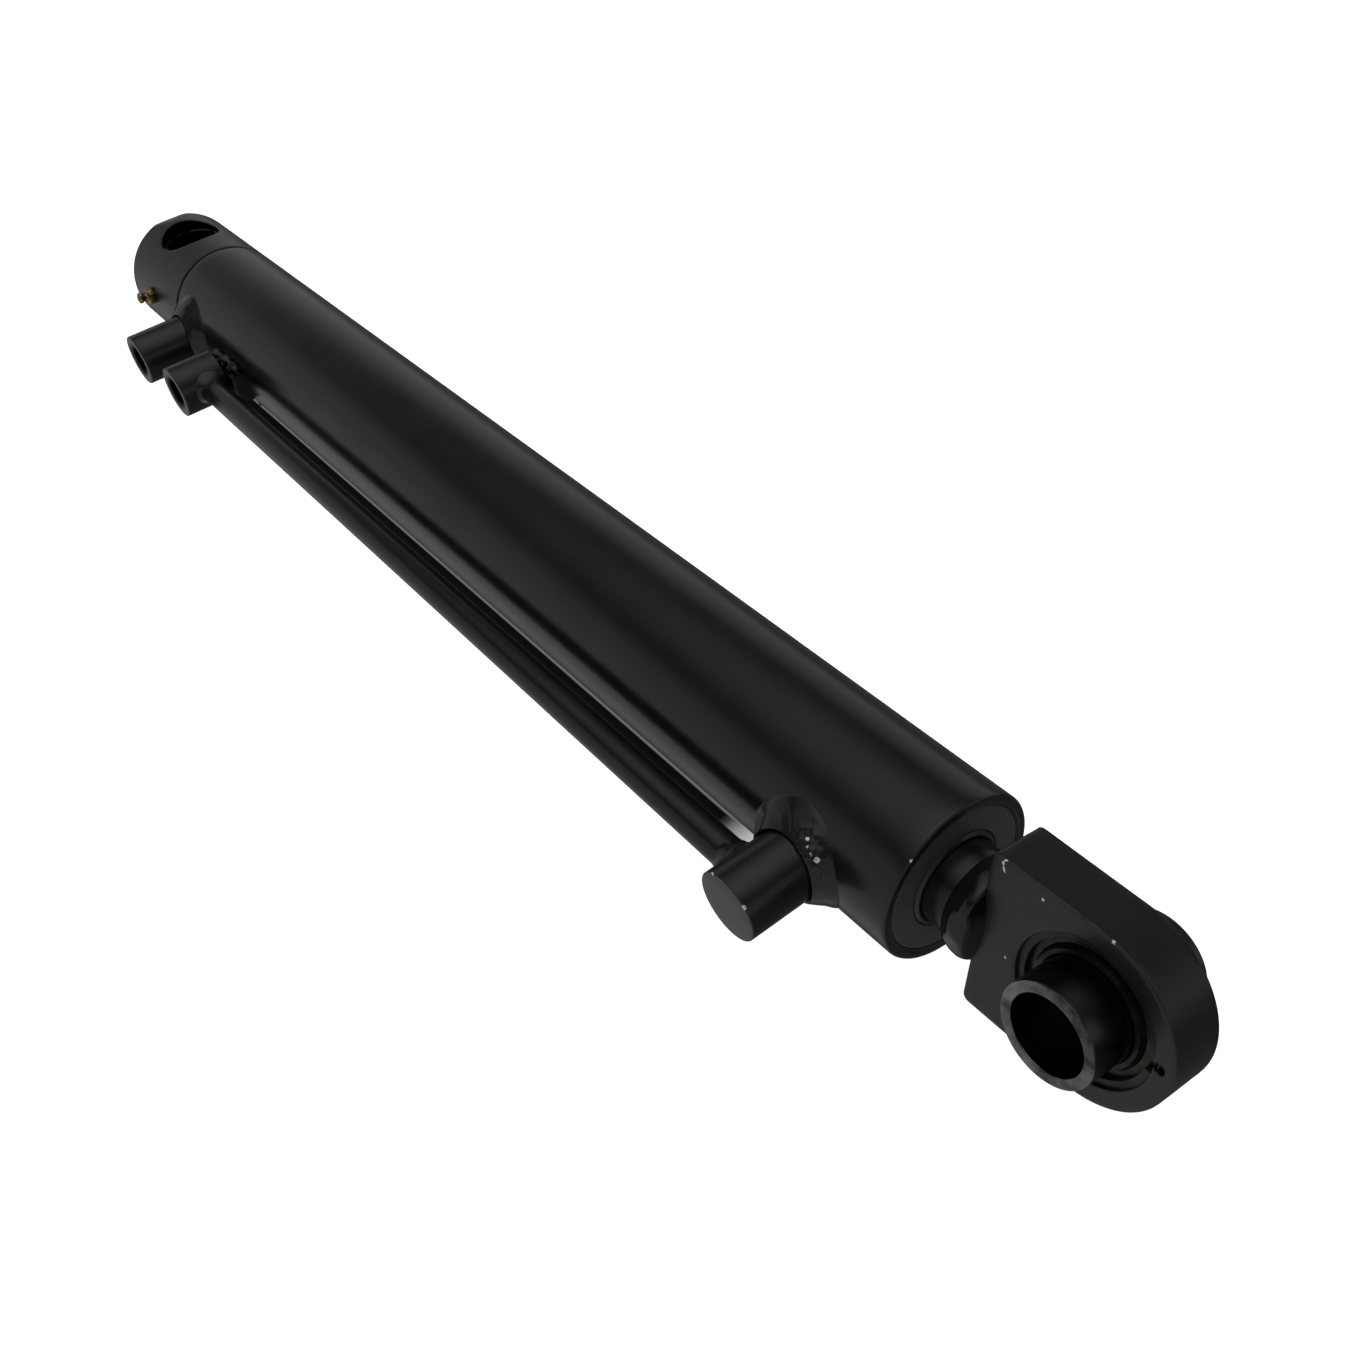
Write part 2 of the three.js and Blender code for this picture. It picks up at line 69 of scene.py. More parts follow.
# Sizes and stations of the CAD model, in millimetres.
BARREL_R = 38.1
BORE_R = 31.75
ROD_R = 19.05
PIN_R = 16
LUG_END_X = -32.8
LUG_BEVEL_DROP, LUG_BEVEL_LENGTH = 1.7, 8
LUG_BORE_R = 18.8
SEAM_X = 43.4
RIM_X = 703.8
BASE_PORT_X, ROD_PORT_X, ROD_END_BOSS_X = 63.4, 119.7, 654.6
BASE_PORT_REACH, ROD_PORT_REACH, ROD_END_BOSS_REACH = 75.6, 74.5, 73.3
ROD_PORT_INNER = 45.7
BOSS_R = 15.7
PORT_R = 9.2
PORT_MOUTH_R = 11.4
DRILLING_R = 5
TUBE_REACH = 56.1
TUBE_R = 7.4
TUBE_BORE_R = 5.4
NIPPLE_TURN = radians(10)
EYE_X = 775
EYE_TURN = radians(10.4)
EYE_WIDTH_R = 38.6
EYE_HALF = 11.9
EYE_NECK = 49.5
EYE_BORE_R = 30.2
BUSH_R, BUSH_HALF = 18.5, 31
SEAL_GAP = 0.3  # round a ring in its groove
GLAND_X, GLAND_FLANGE_X, GLAND_FACE_X = 663, 690, 703.2
GLAND_R, GLAND_FLANGE_R = 31.6, 33.05
GLAND_BORE_R = 19.35
FLANGE_SEAT_R = 33.2
LOCK_GROOVE_FROM, LOCK_GROOVE_TO = 694.8, 697.8
LOCK_GROOVE_INNER, LOCK_GROOVE_OUTER = 31.7, 34.7
WIPER_X, WIPER_TIP_X, WIPER_R = 697, 704.4, 22
PISTON_X, PISTON_END_X = 72, 112
SPINDLE_BORE_R = 14.3
ROD_START_X, ROD_END_X = 56, 725.2
NUT_X, NUT_END_X, NUT_R = 57, 71.7, 20
SLEEVE_R, SLEEVE_HALF = 20.7, 30.6
RACE_SPHERE_R, RACE_HALF = 25.65, 8
BALL_SPHERE_R, BALL_HALF = 25.35, 10.5


# Shapes: a patch is (points, quads), and a piece joins its patches into one mesh.

def patch(grid, wrap_rows=True, wrap_columns=True):
    """A patch of quads over a grid of points, which may close on itself either way."""
    rows, columns = grid.shape[:2]
    index = np.arange(rows * columns).reshape(rows, columns)
    row = np.arange(rows if wrap_rows else rows - 1)[:, None]
    column = np.arange(columns if wrap_columns else columns - 1)[None, :]
    row_after, column_after = (row + 1) % rows, (column + 1) % columns
    corners = [
        index[row, column],
        index[row_after, column],
        index[row_after, column_after],
        index[row, column_after],
    ]
    return grid.reshape(-1, 3), np.stack(corners, -1).reshape(-1, 4)


def rounded(corners, closed=True, steps=4):
    """An outline whose corners are (along, out, setback): each is a curve between the two points that
    lie setback away from it."""
    points = []
    for i, (along, out, setback) in enumerate(corners):
        here = np.array((along, out), float)
        if setback == 0 or (not closed and i in (0, len(corners) - 1)):
            points.append(here)
            continue
        ends = []
        for other in (corners[i - 1], corners[(i + 1) % len(corners)]):
            away = np.array(other[:2], float) - here
            length = np.linalg.norm(away)
            ends.append(here + away / length * min(setback, length / 2))
        for t in np.linspace(0, 1, steps + 1):
            points.append((1 - t) ** 2 * ends[0] + 2 * t * (1 - t) * here + t * t * ends[1])
    return np.array(points)


def turned(corners, sides=SIDES, wobble=None):
    """The grid of an outline turned about X. An outline that starts on the axis is open, any other
    closes on itself. wobble(along, out, angle) is added to the radius."""
    closed = corners[0][1] > 0
    outline = rounded(corners, closed)
    angle = np.arange(sides)[:, None] * tau / sides
    along = np.broadcast_to(outline[:, 0], (sides, len(outline)))
    out = np.broadcast_to(outline[:, 1], along.shape)
    if wobble:
        out = np.where(out > 0, out + wobble(along, out, angle), 0)
    return np.stack([along, out * np.cos(angle), out * np.sin(angle)], -1), closed


def lathe(corners, sides=SIDES, place=lambda grid: grid, wobble=None):
    grid, closed = turned(corners, sides, wobble)
    return patch(place(grid), True, closed)


def moved(grid, x=0, y=0, z=0):
    return grid + np.array((x, y, z), float)


def across(grid):
    """Turns +X to -Y."""
    return np.stack([grid[..., 1], -grid[..., 0], grid[..., 2]], -1)


def upright(grid):
    """Turns +X to +Z."""
    return np.stack([-grid[..., 2], grid[..., 1], grid[..., 0]], -1)


def rolled(grid, angle):
    """Turns about X, from +Y to +Z."""
    y, z = grid[..., 1], grid[..., 2]
    return np.stack([grid[..., 0], y * cos(angle) - z * sin(angle), y * sin(angle) + z * cos(angle)], -1)


def radial(station):
    return lambda grid: moved(across(grid), x=station)


def in_eye(grid):
    """From the rod eye's own frame, where -Y is its near face, to the cylinder's."""
    return moved(rolled(grid, -EYE_TURN), x=EYE_X)


def ripple(seed, *coordinates, octaves=3):
    """Smooth noise between about -1 and 1 over coordinates in radians or waves."""
    random = np.random.default_rng(seed)
    total = 0
    for octave in range(octaves):
        for _ in range(3):
            turns = random.uniform(0.6, 1.4, len(coordinates)) * 1.9**octave
            signs = random.choice((-1, 1), len(coordinates))
            phase = random.uniform(0, tau)
            wave = sum(c * t * s for c, t, s in zip(coordinates, turns, signs))
            total = total + np.sin(wave + phase) / 2.2 / 1.7**octave
    return total


def round_ripple(seed, angle, *coordinates, octaves=3, lobes=3):
    """The same, but it closes on itself round the angle."""
    return ripple(seed, lobes * np.cos(angle), lobes * np.sin(angle), *coordinates, octaves=octaves)


def joined_mesh(name, patches):
    """One mesh of all patches, with shared points merged and its faces pointing out."""
    points, quads, count = [], [], 0
    for patch_points, patch_quads in patches:
        points.append(patch_points)
        quads.append(patch_quads + count)
        count += len(patch_points)
    mesh = bpy.data.meshes.new(name)
    mesh.from_pydata((np.concatenate(points) * MM).tolist(), [], np.concatenate(quads).tolist())
    shaped = bmesh.new()
    shaped.from_mesh(mesh)
    bmesh.ops.remove_doubles(shaped, verts=shaped.verts, dist=2e-6)
    bmesh.ops.recalc_face_normals(shaped, faces=shaped.faces)
    shaped.to_mesh(mesh)
    shaped.free()
    return mesh


def make_piece(name, patches, material, body, replaced, sharp):
    mesh = joined_mesh(name, patches)
    mesh.shade_smooth()
    mesh.set_sharp_from_angle(angle=radians(sharp))
    mesh.materials.append(material)
    made = bpy.data.objects.new(name, mesh)
    bpy.context.scene.collection.objects.link(made)
    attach(made, body)
    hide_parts(replaced)
    return made


BODY_OF = {node: body for body, nodes in frame["record"]["behaviour"]["bodies"].items() for node in nodes}


def stand_in(node, patches, material, sharp=32):
    """The fine surface that stands for one CAD node."""
    return make_piece(node + "_surface", patches, material, BODY_OF[node], node, sharp)


# Materials.

class Shader:
    """A material's nodes. Lengths in textures are millimetres on the piece."""

    def __init__(self, name, **uniform):
        self.material = bpy.data.materials.new(name)
        self.material.use_nodes = True
        self.tree = self.material.node_tree
        self.surface = self.tree.nodes["Principled BSDF"]
        for socket, value in uniform.items():
            self.surface.inputs[socket.replace("_", " ")].default_value = value
        place = self.tree.nodes.new("ShaderNodeTexCoord")
        self.place = self.join("ShaderNodeVectorMath", place.outputs["Object"], (1 / MM,) * 3,
                               operation="MULTIPLY")

    def join(self, kind, *values, output=0, **settings):
        """A node whose first sockets get these values or links; returns one of its outputs."""
        node = self.tree.nodes.new(kind)
        for name, value in settings.items():
            setattr(node, name, value)
        sockets = [socket for socket in node.inputs if socket.enabled]
        for socket, value in zip(sockets, values):
            self.feed(socket, value)
        return node.outputs[output]

    def feed(self, socket, value):
        if isinstance(value, bpy.types.NodeSocket):
            self.tree.links.new(value, socket)
        elif value is not None:
            socket.default_value = value

    def stretched(self, x, y, z):
        return self.join("ShaderNodeVectorMath", self.place, (x, y, z), operation="MULTIPLY")

    def noise(self, size, detail=3.0, roughness=0.55, place=None):
        """Cloudy noise from 0 to 1 with features of about this size."""
        node = self.tree.nodes.new("ShaderNodeTexNoise")
        self.feed(node.inputs["Vector"], place or self.place)
        node.inputs["Scale"].default_value = 1 / size
        node.inputs["Detail"].default_value = detail
        node.inputs["Roughness"].default_value = roughness
        return node.outputs["Fac"]

    def split(self, axis):
        return self.join("ShaderNodeSeparateXYZ", self.place, output="XYZ".index(axis))

    def ramp(self, factor, *stops):
        """Colours or greys along a factor, each stop as (place, colour)."""
        node = self.tree.nodes.new("ShaderNodeValToRGB")
        while len(node.color_ramp.elements) < len(stops):
            node.color_ramp.elements.new(0.5)
        for element, (place, colour) in zip(node.color_ramp.elements, stops):
            element.position = place
            element.color = (*colour, 1) if isinstance(colour, tuple) else (colour, colour, colour, 1)
        self.feed(node.inputs["Fac"], factor)
        return node.outputs["Color"]

    def math(self, operation, *values):
        return self.join("ShaderNodeMath", *values, operation=operation)

    def mix(self, factor, under, over):
        node = self.tree.nodes.new("ShaderNodeMix")
        node.data_type = "RGBA"
        colours = [socket for socket in node.inputs if socket.type == "RGBA"]
        self.feed(node.inputs["Factor"], factor)
        for socket, value in zip(colours, (under, over)):
            self.feed(socket, (*value, 1) if isinstance(value, tuple) else value)
        return next(socket for socket in node.outputs if socket.type == "RGBA")

    def mix_value(self, factor, under, over):
        node = self.tree.nodes.new("ShaderNodeMix")
        self.feed(node.inputs["Factor"], factor)
        self.feed(node.inputs["A"], under)
        self.feed(node.inputs["B"], over)
        return node.outputs["Result"]

    def bump(self, height, depth, strength=1.0, under=None):
        """Bump of this depth in millimetres."""
        node = self.tree.nodes.new("ShaderNodeBump")
        node.inputs["Strength"].default_value = strength
        node.inputs["Distance"].default_value = depth * MM
        self.feed(node.inputs["Height"], height)
        self.feed(node.inputs["Normal"], under)
        return node.outputs["Normal"]

    def near(self, points, ragged=0.6):
        """1 within the given radius of any of the points, (x, y, z, radius), with a ragged edge."""
        edge = self.math("MULTIPLY", self.math("SUBTRACT", self.noise(0.9, 2), 0.5), ragged * 2)
        inside = 0.0
        for x, y, z, reach in points:
            distance = self.join("ShaderNodeVectorMath", self.place, (x, y, z), output=1,
                                 operation="DISTANCE")
            frayed = self.math("ADD", distance, edge)
            hit = self.math("LESS_THAN", frayed, reach)
            inside = self.math("MAXIMUM", hit, inside)
        return inside

    def set(self, **links):
        for socket, value in links.items():
            self.feed(self.surface.inputs[socket.replace("_", " ")], value)
        return self.material


BARE_CHIP = (0.62, 0.60, 0.56)


def black_paint(name, tone=1.0, rough=(0.18, 0.28), grain=0.02, lumps=0.0, chips=(), bores=()):
    """Satin black paint: cloudy film, dust specks, a fine orange peel and chips down to bare steel. Inside a
    bore it is near black and metallic instead: painted shade for the bore's dark inside. A bore is two axes
    with its place on them, and a radius."""
    s = Shader(name, Specular_IOR_Level=0.5)
    film = s.ramp(s.noise(38, 5), (0.3, tuple(tone * c for c in (0.0030, 0.0031, 0.0033))),
                  (0.7, tuple(tone * c for c in (0.0056, 0.0054, 0.0052))))
    dust = s.ramp(s.noise(1.3, 3), (0.66, 0.0), (0.74, 0.35))
    colour = s.mix(dust, film, tuple(tone * c for c in (0.014, 0.0135, 0.0125)))
    gloss = s.mix_value(s.noise(22, 4), *rough)
    height = s.bump(s.noise(0.55, 2), grain)
    height = s.bump(s.noise(3.2, 2), grain * 1.6, under=height)
    if lumps:
        height = s.bump(s.noise(5.5, 3), lumps, under=height)
    metal = 0.0
    if chips:
        bare = s.near(chips)
        colour = s.mix(bare, colour, BARE_CHIP)
        metal = s.math("MULTIPLY", bare, 0.6)
    # Painted shade: inside each bore the paint is made near black and metallic, for the dark inside of the
    # bore.
    for (axis, place), (other_axis, other_place), radius in bores:
        aside = s.math("SUBTRACT", s.split(axis), place)
        other_aside = s.math("SUBTRACT", s.split(other_axis), other_place)
        out = s.math("SQRT", s.math("ADD", s.math("MULTIPLY", aside, aside),
                                    s.math("MULTIPLY", other_aside, other_aside)))
        inside = s.math("LESS_THAN", out, radius)
        colour = s.mix(inside, colour, (0.0012, 0.0011, 0.0009))
        metal = s.math("MAXIMUM", metal, inside)
    return s.set(Base_Color=colour, Roughness=gloss, Metallic=metal, Normal=height)


def steel(name, dark, light, rough=(0.25, 0.4), metal=1.0, grain=0.01, scale=6.0, spread=(0.32, 0.68)):
    """Bare metal with cloudy stains; on the bush the clouds are painted shade and painted glints instead."""
    s = Shader(name, Metallic=metal)
    colour = s.ramp(s.noise(scale, 5), (spread[0], dark), (spread[1], light))
    gloss = s.mix_value(s.noise(scale * 0.6, 4), *rough)
    return s.set(Base_Color=colour, Roughness=gloss, Normal=s.bump(s.noise(0.4, 3), grain))


def moulded(name, dark, light, rough=(0.4, 0.55), grain=0.01):
    s = Shader(name)
    colour = s.ramp(s.noise(4, 4), (0.35, dark), (0.65, light))
    return s.set(Base_Color=colour, Roughness=s.mix_value(s.noise(2, 3), *rough),
                 Normal=s.bump(s.noise(0.3, 2), grain))


def on_cylinder(x, y, z, radius=BARREL_R):
    """The point of the barrel's surface that is nearest to a point."""
    out = sqrt(y * y + z * z)
    return x, y * radius / out, z * radius / out


def eye_point(reach, degrees, depth=-EYE_HALF):
    """A point of the rod eye, at a reach and direction from its centre, in the cylinder's frame."""
    flat = np.array([[reach * cos(radians(degrees)), depth, reach * sin(radians(degrees))]])
    return tuple(in_eye(flat)[0])


def collar_point(turn, out, height=4.3):
    """A point of the rod end boss's weld, at a direction and distance from the boss's axis."""
    z = out * sin(turn)
    return ROD_END_BOSS_X + out * cos(turn), -sqrt((BARREL_R + height) ** 2 - z * z), z


RIM_CHIPS = [(*on_cylinder(RIM_X, -23.5, 30), 0.9), (*on_cylinder(RIM_X, -33.2, -18.7), 0.7)]
CAP_CHIPS = [
    (ROD_END_BOSS_X - 7, -ROD_END_BOSS_REACH, 14.0, 0.8),
    (ROD_END_BOSS_X + 11.5, -ROD_END_BOSS_REACH, 10.6, 1.05),
]
# Small light metallic spots on the rougher patch where the rod end boss's weld was started again.
COLLAR_LIGHT_SPOTS = [
    (*collar_point(0.75, 20.5), 1.3),
    (*collar_point(0.88, 19.6), 1.0),
    (*collar_point(1.02, 19.2), 1.2),
    (*collar_point(1.16, 20.4), 0.8),
]
# An L-shaped scratch near the plate's upper corner, as a row of small bare spots.
SCRATCH = [(57.6 - 0.55 * i, 140.6 + 0.35 * i) for i in range(7)]
SCRATCH += [(57.6, 140.6 - 0.7 * i) for i in range(1, 4)]
PLATE_CHIPS = [
    (*eye_point(42, 127), 0.6),
    (*eye_point(38.2, 84), 0.75),
    (*eye_point(34.9, 186), 0.5),
    *((*eye_point(reach, degrees), 0.42) for reach, degrees in SCRATCH),
]

paint = black_paint("black_paint", chips=RIM_CHIPS)
# The lug's pin bore and the ports' bores get painted shade inside them through bores.
lug_paint = black_paint("lug_paint", tone=1.3, rough=(0.24, 0.36), grain=0.03,
                        bores=[(("X", 0.0), ("Y", 0.0), LUG_BORE_R + 0.12)])
boss_paint = black_paint("boss_paint", rough=(0.2, 0.3), grain=0.03, chips=CAP_CHIPS,
                         bores=[(("X", x), ("Z", 0.0), PORT_R + 1.1) for x in (BASE_PORT_X, ROD_PORT_X)])
weld_paint = black_paint("weld_paint", rough=(0.14, 0.22), grain=0.015, lumps=0.08)
collar_paint = black_paint("collar_paint", rough=(0.14, 0.22), grain=0.015, lumps=0.12, chips=COLLAR_LIGHT_SPOTS)
plate_paint = black_paint("plate_paint", tone=1.1, rough=(0.24, 0.36), grain=0.035, chips=PLATE_CHIPS)
tube_paint = black_paint("tube_paint", rough=(0.18, 0.26), grain=0.015)
# The gland's paint is the black paint made six times lighter: painted light for the lit face of the gland.
gland_paint_painted_light = black_paint("gland_paint_painted_light", tone=6.0, rough=(0.24, 0.36), grain=0.03)

# The bush is mostly near-black metal, painted shade for the dark inside of the pin bore, with sparse bronze
# patches that paint glints on the bronze bush.
bush_bronze_with_painted_shade_and_glints = steel("bush_bronze_with_painted_shade_and_glints", (0.006, 0.005, 0.004), (0.16, 0.115, 0.045), (0.2, 0.34), scale=3.2,
                    spread=(0.52, 0.74))
bearing_steel = steel("bearing_steel", (0.010, 0.009, 0.007), (0.05, 0.043, 0.032), (0.16, 0.3), 0.8,
                      grain=0.04, scale=5)
ring_steel = steel("ring_steel", (0.022, 0.023, 0.024), (0.04, 0.04, 0.042), (0.32, 0.42), 0.8)
nut_steel = steel("nut_steel", (0.09, 0.09, 0.095), (0.17, 0.17, 0.17), (0.35, 0.5))
cast_iron = steel("cast_iron", (0.05, 0.05, 0.052), (0.12, 0.12, 0.12), (0.45, 0.6), 0.8, 0.03)
zinc = steel("zinc_yellow", (0.05, 0.034, 0.012), (0.42, 0.31, 0.13), (0.14, 0.24), scale=2.5)
nylon = moulded("nylon", (0.02, 0.06, 0.035), (0.035, 0.09, 0.055))
polyurethane = moulded("polyurethane", (0.02, 0.035, 0.06), (0.035, 0.055, 0.09), (0.35, 0.5))
wiper_rubber = moulded("wiper_rubber", (0.004, 0.004, 0.0045), (0.008, 0.008, 0.009), (0.3, 0.42))
nitrile = moulded("nitrile", (0.006, 0.006, 0.006), (0.013, 0.013, 0.013), (0.5, 0.65), 0.02)


def chrome():
    """Ground hard chrome, under black paint on the last stretch before the eye."""
    s = Shader("rod_chrome")
    frayed = s.math("ADD", s.split("X"), s.math("MULTIPLY", s.noise(4, 3), 2.5))
    painted = s.math("GREATER_THAN", frayed, 704.0)
    grinding = s.noise(0.5, 3, place=s.stretched(1, 0.04, 0.04))
    bright = s.ramp(s.noise(30, 4), (0.3, (0.50, 0.51, 0.53)), (0.7, (0.60, 0.61, 0.62)))
    colour = s.mix(painted, bright, (0.0022, 0.0022, 0.0023))
    gloss = s.mix_value(painted, s.mix_value(grinding, 0.07, 0.15), 0.24)
    return s.set(Base_Color=colour, Metallic=s.math("SUBTRACT", 1.0, painted), Roughness=gloss,
                 Normal=s.bump(grinding, 0.002))


rod_chrome = chrome()


def sleeve_finish():
    """Dark, oily steel that is worn bright on its two end rings."""
    s = Shader("sleeve_steel", Metallic=1.0)
    depth = s.math("SUBTRACT", s.math("MULTIPLY", s.split("Y"), cos(EYE_TURN)),
                   s.math("MULTIPLY", s.split("Z"), sin(EYE_TURN)))
    end = s.math("GREATER_THAN", s.math("ABSOLUTE", depth), 29.9)
    side = s.ramp(s.noise(14, 4), (0.32, (0.05, 0.05, 0.052)), (0.68, (0.085, 0.085, 0.085)))
    ring = s.ramp(s.noise(12, 4), (0.36, (0.05, 0.05, 0.052)), (0.66, (0.26, 0.26, 0.26)))
    return s.set(Base_Color=s.mix(end, side, ring), Roughness=s.mix_value(s.noise(9, 4), 0.2, 0.3),
                 Normal=s.bump(s.noise(0.4, 3), 0.01))


sleeve_steel = sleeve_finish()


# Barrel and base.

SEAM_OPEN = 0.8  # half the width of the open seam between the lug and the barrel


def seam_wave(angle):
    """How far the seam between the lug and the barrel wanders along X."""
    return 0.3 * round_ripple(5, angle, lobes=2) + 0.16 * round_ripple(6, angle, lobes=9, octaves=2)


def barrel_tube():
    start = SEAM_X + SEAM_OPEN
    grid, _ = turned([
        (start, BORE_R, 0), (start, BARREL_R, 1.3), (start + 8, BARREL_R, 0), (RIM_X - 9, BARREL_R, 0),
        (RIM_X, BARREL_R, 1.7), (RIM_X, 34.6, 0.3), (RIM_X - 0.5, 34.2, 0.2),
        (RIM_X - 0.5, FLANGE_SEAT_R, 0.25), (LOCK_GROOVE_TO, FLANGE_SEAT_R, 0),
        (LOCK_GROOVE_TO, LOCK_GROOVE_OUTER, 0), (LOCK_GROOVE_FROM, LOCK_GROOVE_OUTER, 0),
        (LOCK_GROOVE_FROM, FLANGE_SEAT_R, 0), (GLAND_FLANGE_X, FLANGE_SEAT_R, 0),
        (GLAND_FLANGE_X, BORE_R, 0),
    ], 224)
    lip = grid[..., 0] < start + 1
    angle = np.arctan2(grid[..., 2], grid[..., 1])
    grid[..., 0] += np.where(lip, seam_wave(angle), 0)
    stand_in("barrel_tube", [patch(grid)], paint)


def bevelled(grid):
    """Presses the lug's end on to its two flat bevels, with a soft edge."""
    along, z = grid[..., 0], grid[..., 2]
    plane = BARREL_R + LUG_BEVEL_DROP * ((along - LUG_END_X) / LUG_BEVEL_LENGTH - 1)
    softness = 5  # per millimetre
    height = -np.logaddexp(-softness * np.abs(z), -softness * plane) / softness
    pressed = grid.copy()
    pressed[..., 2] = np.sign(z) * np.where(np.abs(z) > 30, height, np.abs(z))
    return pressed


def lug_side(first, last, round_steps=144, loft_steps=18):
    """The lug's upper half round the bore: rings that open from the bore's mouth to the edges of the
    unrolled surface between two stations. Returns its patches and the angles of the two end edges."""
    half_arc = BARREL_R * pi / 2
    corner_angles = [atan2(arc, x) for x in (first, last) for arc in (half_arc, -half_arc)]
    turn = np.unique(np.concatenate([np.linspace(-pi, pi, round_steps, endpoint=False), corner_angles]))
    to_side = np.where(np.cos(turn) > 0, last, first) / np.cos(turn)
    to_arc = half_arc / np.maximum(np.abs(np.sin(turn)), 1e-9)
    edge_reach = np.minimum(to_side, to_arc)
    edge = np.stack([edge_reach * np.cos(turn), edge_reach * np.sin(turn)], -1)

    def surface(along, arc):
        theta = arc / BARREL_R
        return bevelled(np.stack([along, BARREL_R * np.sin(theta), BARREL_R * np.cos(theta)], -1))

    def mouth(reach):
        y = reach * np.sin(turn)
        return np.stack([reach * np.cos(turn), BARREL_R * np.arcsin(y / BARREL_R)], -1)

    lip = 1.3
    start = mouth(LUG_BORE_R + lip)
    rings = []
    for step in np.linspace(1, 0, loft_steps):
        flat = start + (edge - start) * step**1.35
        rings.append(surface(flat[:, 0], flat[:, 1]))
    for reach, drop in ((0.75, 0.05), (0.35, 0.22), (0.1, 0.6), (0, 1.1)):
        flat = mouth(LUG_BORE_R + reach)
        rings.append(surface(flat[:, 0], flat[:, 1]) - np.array((0, 0, drop)))
    for z in (31.5, 20, 0):
        wall = [LUG_BORE_R * np.cos(turn), LUG_BORE_R * np.sin(turn), np.minimum(z, rings[-1][:, 2])]
        rings.append(np.stack(wall, -1))
    grid = np.stack(rings)
    edges = [np.arctan2(g[:, 2], g[:, 1]) for g in (
        grid[0][np.isclose(edge[:, 0], first)], grid[0][np.isclose(edge[:, 0], last)])]
    return patch(grid, False, True), edges


def lug_end(angles, outline):
    """An outline turned through the angles of a lug side's edge, on both sides of the lug."""
    both = np.unique(np.round(np.concatenate([angles, angles + pi]) % tau, 9))
    along, out = outline[:, 0], outline[:, 1]
    grid = np.stack([np.broadcast_to(along, (len(both), len(along))),
                     out * np.cos(both)[:, None], out * np.sin(both)[:, None]], -1)
    return grid


def base_lug():
    first, last = LUG_END_X + 2.4, SEAM_X - 2.4
    (points, quads), (left, right) = lug_side(first, last)
    under = points * np.array((1, -1, -1))
    end = rounded([(first, BARREL_R, 0), (LUG_END_X, BARREL_R, 1.9), (LUG_END_X, 20, 0),
                   (LUG_END_X, 0, 0)], closed=False, steps=7)
    root = rounded([(last, BARREL_R, 0), (SEAM_X - SEAM_OPEN, BARREL_R, 1.3), (SEAM_X - SEAM_OPEN, BORE_R, 0),
                    (SEAM_X + 10, BORE_R - 0.15, 1), (SEAM_X + 10, 0, 0)], closed=False)
    root_grid = lug_end(right, root)
    angle = np.arctan2(root_grid[..., 2], root_grid[..., 1])
    on_lip = (root_grid[..., 0] > last + 0.1) & (root_grid[..., 0] < SEAM_X)
    root_grid[..., 0] += np.where(on_lip, seam_wave(angle), 0)
    patches = [(points, quads), (under, quads), patch(bevelled(lug_end(left, end)), True, False),
               patch(root_grid, True, False)]
    stand_in("base_lug", patches, lug_paint)


def base_pin_bush():
    """The bush, with a grease groove round the middle of its bore."""
    groove_r = PIN_R + 0.9
    corners = [(-BUSH_HALF, BUSH_R, 0.5), (BUSH_HALF, BUSH_R, 0.5), (BUSH_HALF, PIN_R, 1.0),
               (1.8, PIN_R, 0.2), (1.5, groove_r, 0.3), (-1.5, groove_r, 0.3), (-1.8, PIN_R, 0.2),
               (-BUSH_HALF, PIN_R, 1.0)]
    stand_in("base_pin_bush", [lathe(corners, 128, upright)], bush_bronze_with_painted_shade_and_glints)


def base_seam_weld():
    corners = [(SEAM_X - 0.6, BARREL_R - 1.3, 0.2), (SEAM_X + 0.6, BARREL_R - 1.3, 0.2),
               (SEAM_X, BARREL_R - 3.4, 0.2)]
    grid, _ = turned(corners, 224)
    angle = np.arctan2(grid[..., 2], grid[..., 1])
    grid[..., 0] += seam_wave(angle)
    stand_in("base_seam_weld", [patch(grid)], weld_paint)


def grease_nipple():
    seat = BARREL_R + 0.1

    def hexagonal(along, out, angle):
        flat = (angle + pi / 6) % (pi / 3) - pi / 6
        body = (along > seat - 0.01) & (along < seat + 3.4) & (out > 4.2)
        return np.where(body, 5.2 / np.cos(flat) - 5.5, 0)

    corners = [
        (seat - 9, 0, 0), (seat - 9, 4, 0.4), (seat, 4, 0), (seat, 5.5, 0.3), (seat + 3.2, 5.5, 0.5),
        (seat + 3.7, 3.2, 0.3), (seat + 5.2, 2.5, 1.0), (seat + 6.6, 2.7, 0.6), (seat + 7.6, 3.75, 0.6),
        (seat + 9.2, 3.4, 0.6), (seat + 9.9, 1.7, 0.3), (seat + 9.6, 0.9, 0.2), (seat + 9.5, 0, 0),
    ]
    place = lambda grid: rolled(across(grid), -NIPPLE_TURN)
    stand_in("grease_nipple", [lathe(corners, 72, place, hexagonal)], zinc)


# Port bosses, their welds and the transfer tube.

THREAD_PITCH = 1.8
THREAD_DEPTH = 0.95


